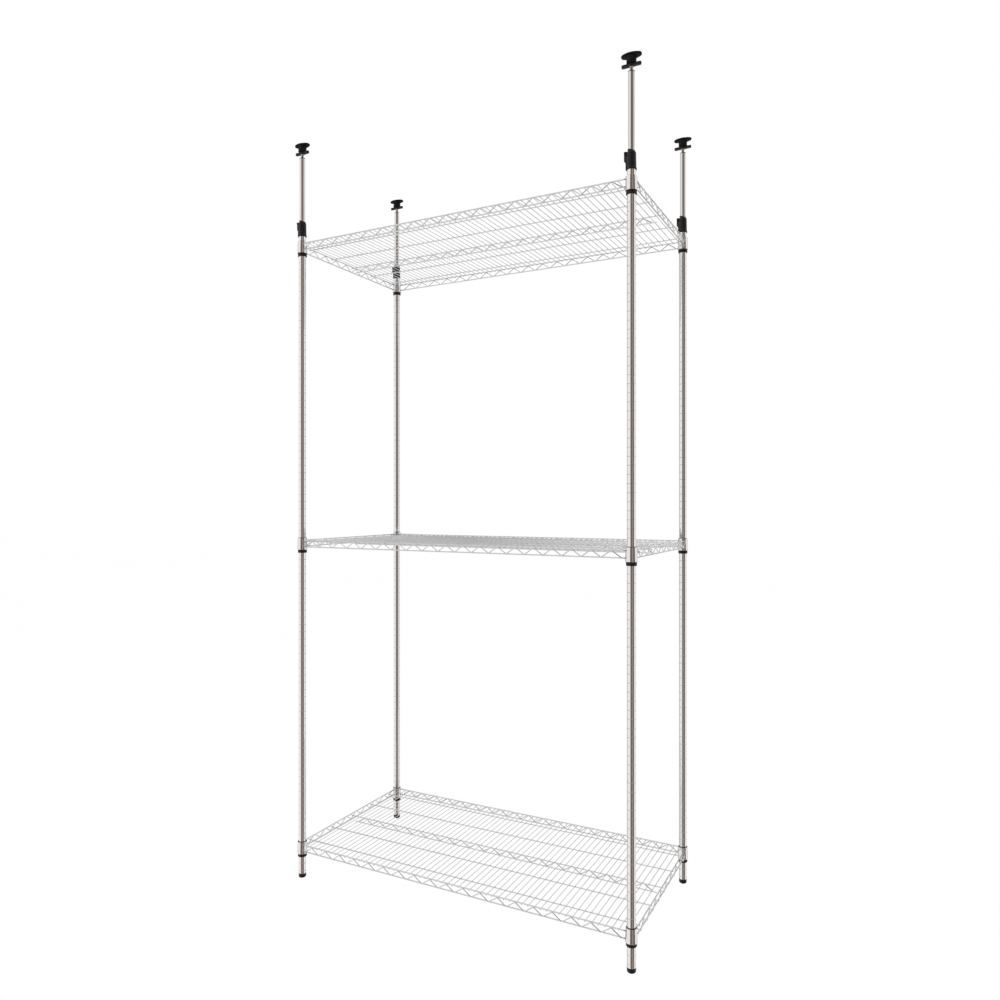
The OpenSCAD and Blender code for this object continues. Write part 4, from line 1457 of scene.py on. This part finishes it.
@dataclass(frozen=True)
class Studio:
    """Camera, lamps, floor and the room that the chrome mirrors."""

    eye: Triple = (1.27424, -2.38832, 1.32277)
    yaw: float = 0.4787
    lens: float = 27.88
    background: float = 1.0
    ambient: float = 0.8
    room_radius: float = 20.0
    walls: tuple[Wall, ...] = (
        Wall("room_front", (-6.5, 88.0), (-26.0, 33.0), (0.2, 0.15, 0.12), (0.46, 0.4, 0.355)),
        Wall("room_left", (217.0, 252.0), (-14.0, 14.0), (0.3, 0.27, 0.25), (0.3, 0.27, 0.25)),
        Wall("room_back", (150.0, 162.0), (-14.0, 14.0), (0.36, 0.33, 0.31), (0.36, 0.33, 0.31)),
    )
    strip_at: float = 43.0
    strip_ends: tuple[float, float] = (3.0, 10.0)
    floor_glow: float = 0.985
    floor_half: float = 30.0
    shift_y: float = 0.001
    sensor: float = 36.0
    soft_box: float = 2.4
    aim: Triple = (0.0, 0.0, 1.2)
    soft_boxes: tuple[Lamp, ...] = (Lamp("key", (-2.6, -3.0, 3.2), 55.0), Lamp("fill", (3.0, 2.4, 2.8), 30.0))

    def camera(self) -> None:
        """Stands the camera where the photograph was taken, level and turned by its yaw."""
        data = bpy.data.cameras.new("camera")
        data.lens, data.sensor_width, data.sensor_fit = self.lens, self.sensor, "HORIZONTAL"
        data.shift_y, data.clip_end = self.shift_y, 100.0
        camera = bpy.data.objects.new("camera", data)
        camera.location = self.eye
        camera.rotation_euler = (math.pi / 2, 0.0, self.yaw)
        bpy.context.scene.collection.objects.link(camera)
        bpy.context.scene.camera = camera

    def white(self, tree: bpy.types.NodeTree) -> bpy.types.NodeSocket:
        """Amount that is 1 for rays from the camera, a gloss or a glass, and 0 for lighting rays.

        Args:
            tree: Nodes that the amount is worked out in.

        Returns:
            The amount.
        """
        path = tree.nodes.new("ShaderNodeLightPath")
        total = path.outputs["Is Camera Ray"]
        for name in ("Is Glossy Ray", "Is Transmission Ray"):
            larger = tree.nodes.new("ShaderNodeMath")
            larger.operation = "MAXIMUM"
            tree.links.new(total, larger.inputs[0])
            tree.links.new(path.outputs[name], larger.inputs[1])
            total = larger.outputs["Value"]
        return total

    def world(self) -> None:
        """White background, with a plainer level for the light that falls on the unit."""
        world = bpy.data.worlds.new("studio")
        world.use_nodes = True
        tree = world.node_tree
        tree.nodes.clear()
        output, mix = tree.nodes.new("ShaderNodeOutputWorld"), tree.nodes.new("ShaderNodeMixShader")
        lighting, backdrop = (tree.nodes.new("ShaderNodeBackground") for _ in range(2))
        lighting.inputs["Color"].default_value = (1.0, 0.99, 0.98, 1.0)
        lighting.inputs["Strength"].default_value = self.ambient
        backdrop.inputs["Color"].default_value = (1.0, 1.0, 1.0, 1.0)
        backdrop.inputs["Strength"].default_value = self.background
        tree.links.new(self.white(tree), mix.inputs["Fac"])
        tree.links.new(lighting.outputs["Background"], mix.inputs[1])
        tree.links.new(backdrop.outputs["Background"], mix.inputs[2])
        tree.links.new(mix.outputs["Shader"], output.inputs["Surface"])
        bpy.context.scene.world = world

    def floor(self) -> None:
        """Pale floor that shows as white and keeps a soft shadow."""
        size = self.floor_half
        mesh = bpy.data.meshes.new("floor")
        corners = [(-size, -size, 0.0), (size, -size, 0.0), (size, size, 0.0), (-size, size, 0.0)]
        mesh.from_pydata(corners, [], [(0, 1, 2, 3)])
        material = bpy.data.materials.new("pale_floor")
        material.use_nodes = True
        tree = material.node_tree
        shader, output = tree.nodes["Principled BSDF"], tree.nodes["Material Output"]
        shader.inputs["Base Color"].default_value = (0.9, 0.9, 0.9, 1.0)
        shader.inputs["Roughness"].default_value = 0.9
        glow, mix = tree.nodes.new("ShaderNodeEmission"), tree.nodes.new("ShaderNodeMixShader")
        share = tree.nodes.new("ShaderNodeMath")
        share.operation = "MULTIPLY"
        share.inputs[1].default_value = self.floor_glow
        tree.links.new(self.white(tree), share.inputs[0])
        tree.links.new(share.outputs["Value"], mix.inputs["Fac"])
        tree.links.new(shader.outputs["BSDF"], mix.inputs[1])
        tree.links.new(glow.outputs["Emission"], mix.inputs[2])
        tree.links.new(mix.outputs["Shader"], output.inputs["Surface"])
        mesh.materials.append(material)
        floor = bpy.data.objects.new("floor", mesh)
        floor.visible_glossy = False
        bpy.context.scene.collection.objects.link(floor)

    def room(self, wall: Wall) -> None:
        """Makes one dim wall of the room that the chrome mirrors.

        A point is (R sin a, -R cos a, h) for the angle a from the front towards the right.

        Args:
            wall: The wall's angles, heights and glow.
        """
        angle = np.radians(np.linspace(*wall.span, 40))
        rim = np.stack([self.room_radius * np.sin(angle), -self.room_radius * np.cos(angle)], axis=1)
        points = np.concatenate([np.column_stack([rim, np.full(len(rim), h)]) for h in wall.rise])
        first = np.arange(len(rim) - 1)
        faces = np.stack([first, first + 1, first + 1 + len(rim), first + len(rim)], axis=1)
        mesh = bpy.data.meshes.new(wall.name)
        mesh.from_pydata(points, [], faces.tolist())
        graph = Graph(wall.name)
        split = graph.add("ShaderNodeSeparateXYZ")
        graph.link(graph.place, split.inputs["Vector"])
        bearing = graph.math("ARCTAN2", split.outputs["X"], graph.math("MULTIPLY", split.outputs["Y"], -1.0))
        away = graph.math("ABSOLUTE", graph.math("SUBTRACT", bearing, math.radians(self.strip_at)))
        strip = graph.spread(away, 1.0, 0.0, *map(math.radians, self.strip_ends))
        glow = graph.add("ShaderNodeEmission")
        graph.link(graph.blend(strip, wall.tint, wall.bright), glow.inputs["Color"])
        output = next(node for node in graph.tree.nodes if node.type == "OUTPUT_MATERIAL")
        graph.link(glow.outputs["Emission"], output.inputs["Surface"])
        mesh.materials.append(graph.material)
        piece = bpy.data.objects.new(wall.name, mesh)
        piece.visible_camera = piece.visible_diffuse = False
        piece.visible_shadow = piece.visible_transmission = False
        bpy.context.scene.collection.objects.link(piece)

    def lamps(self) -> None:
        """Two soft boxes from the left front and the right back."""
        for box in self.soft_boxes:
            data = bpy.data.lights.new(box.name, "AREA")
            data.size, data.energy = self.soft_box, box.power
            lamp = bpy.data.objects.new(box.name, data)
            lamp.location = box.place
            aim = np.array(self.aim) - box.place
            flat = math.hypot(aim[0], aim[1])
            lamp.rotation_euler = (math.atan2(flat, -aim[2]), 0.0, math.atan2(-aim[0], aim[1]))
            lamp.visible_glossy = False
            bpy.context.scene.collection.objects.link(lamp)

    def build(self) -> None:
        """Sets up the whole studio."""
        self.camera()
        self.world()
        self.floor()
        for wall in self.walls:
            self.room(wall)
        self.lamps()
        bpy.context.scene.view_settings.view_transform = "Standard"


def main() -> None:
    """Builds the studio and every piece of the unit."""
    logging.basicConfig(level=logging.INFO, format="%(name)s %(message)s")
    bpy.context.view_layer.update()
    Studio().build()
    Feet().build()
    ShelfCorners().sleeves()
    for level in Level:
        Shelf(level).build()
    for corner in Corner:
        Post(corner).build()
        JointClamp(corner).build()
        UpperPole(corner).build()
        CeilingJack(corner).build()
    finish_guides()


if __name__ == "__main__":
    main()
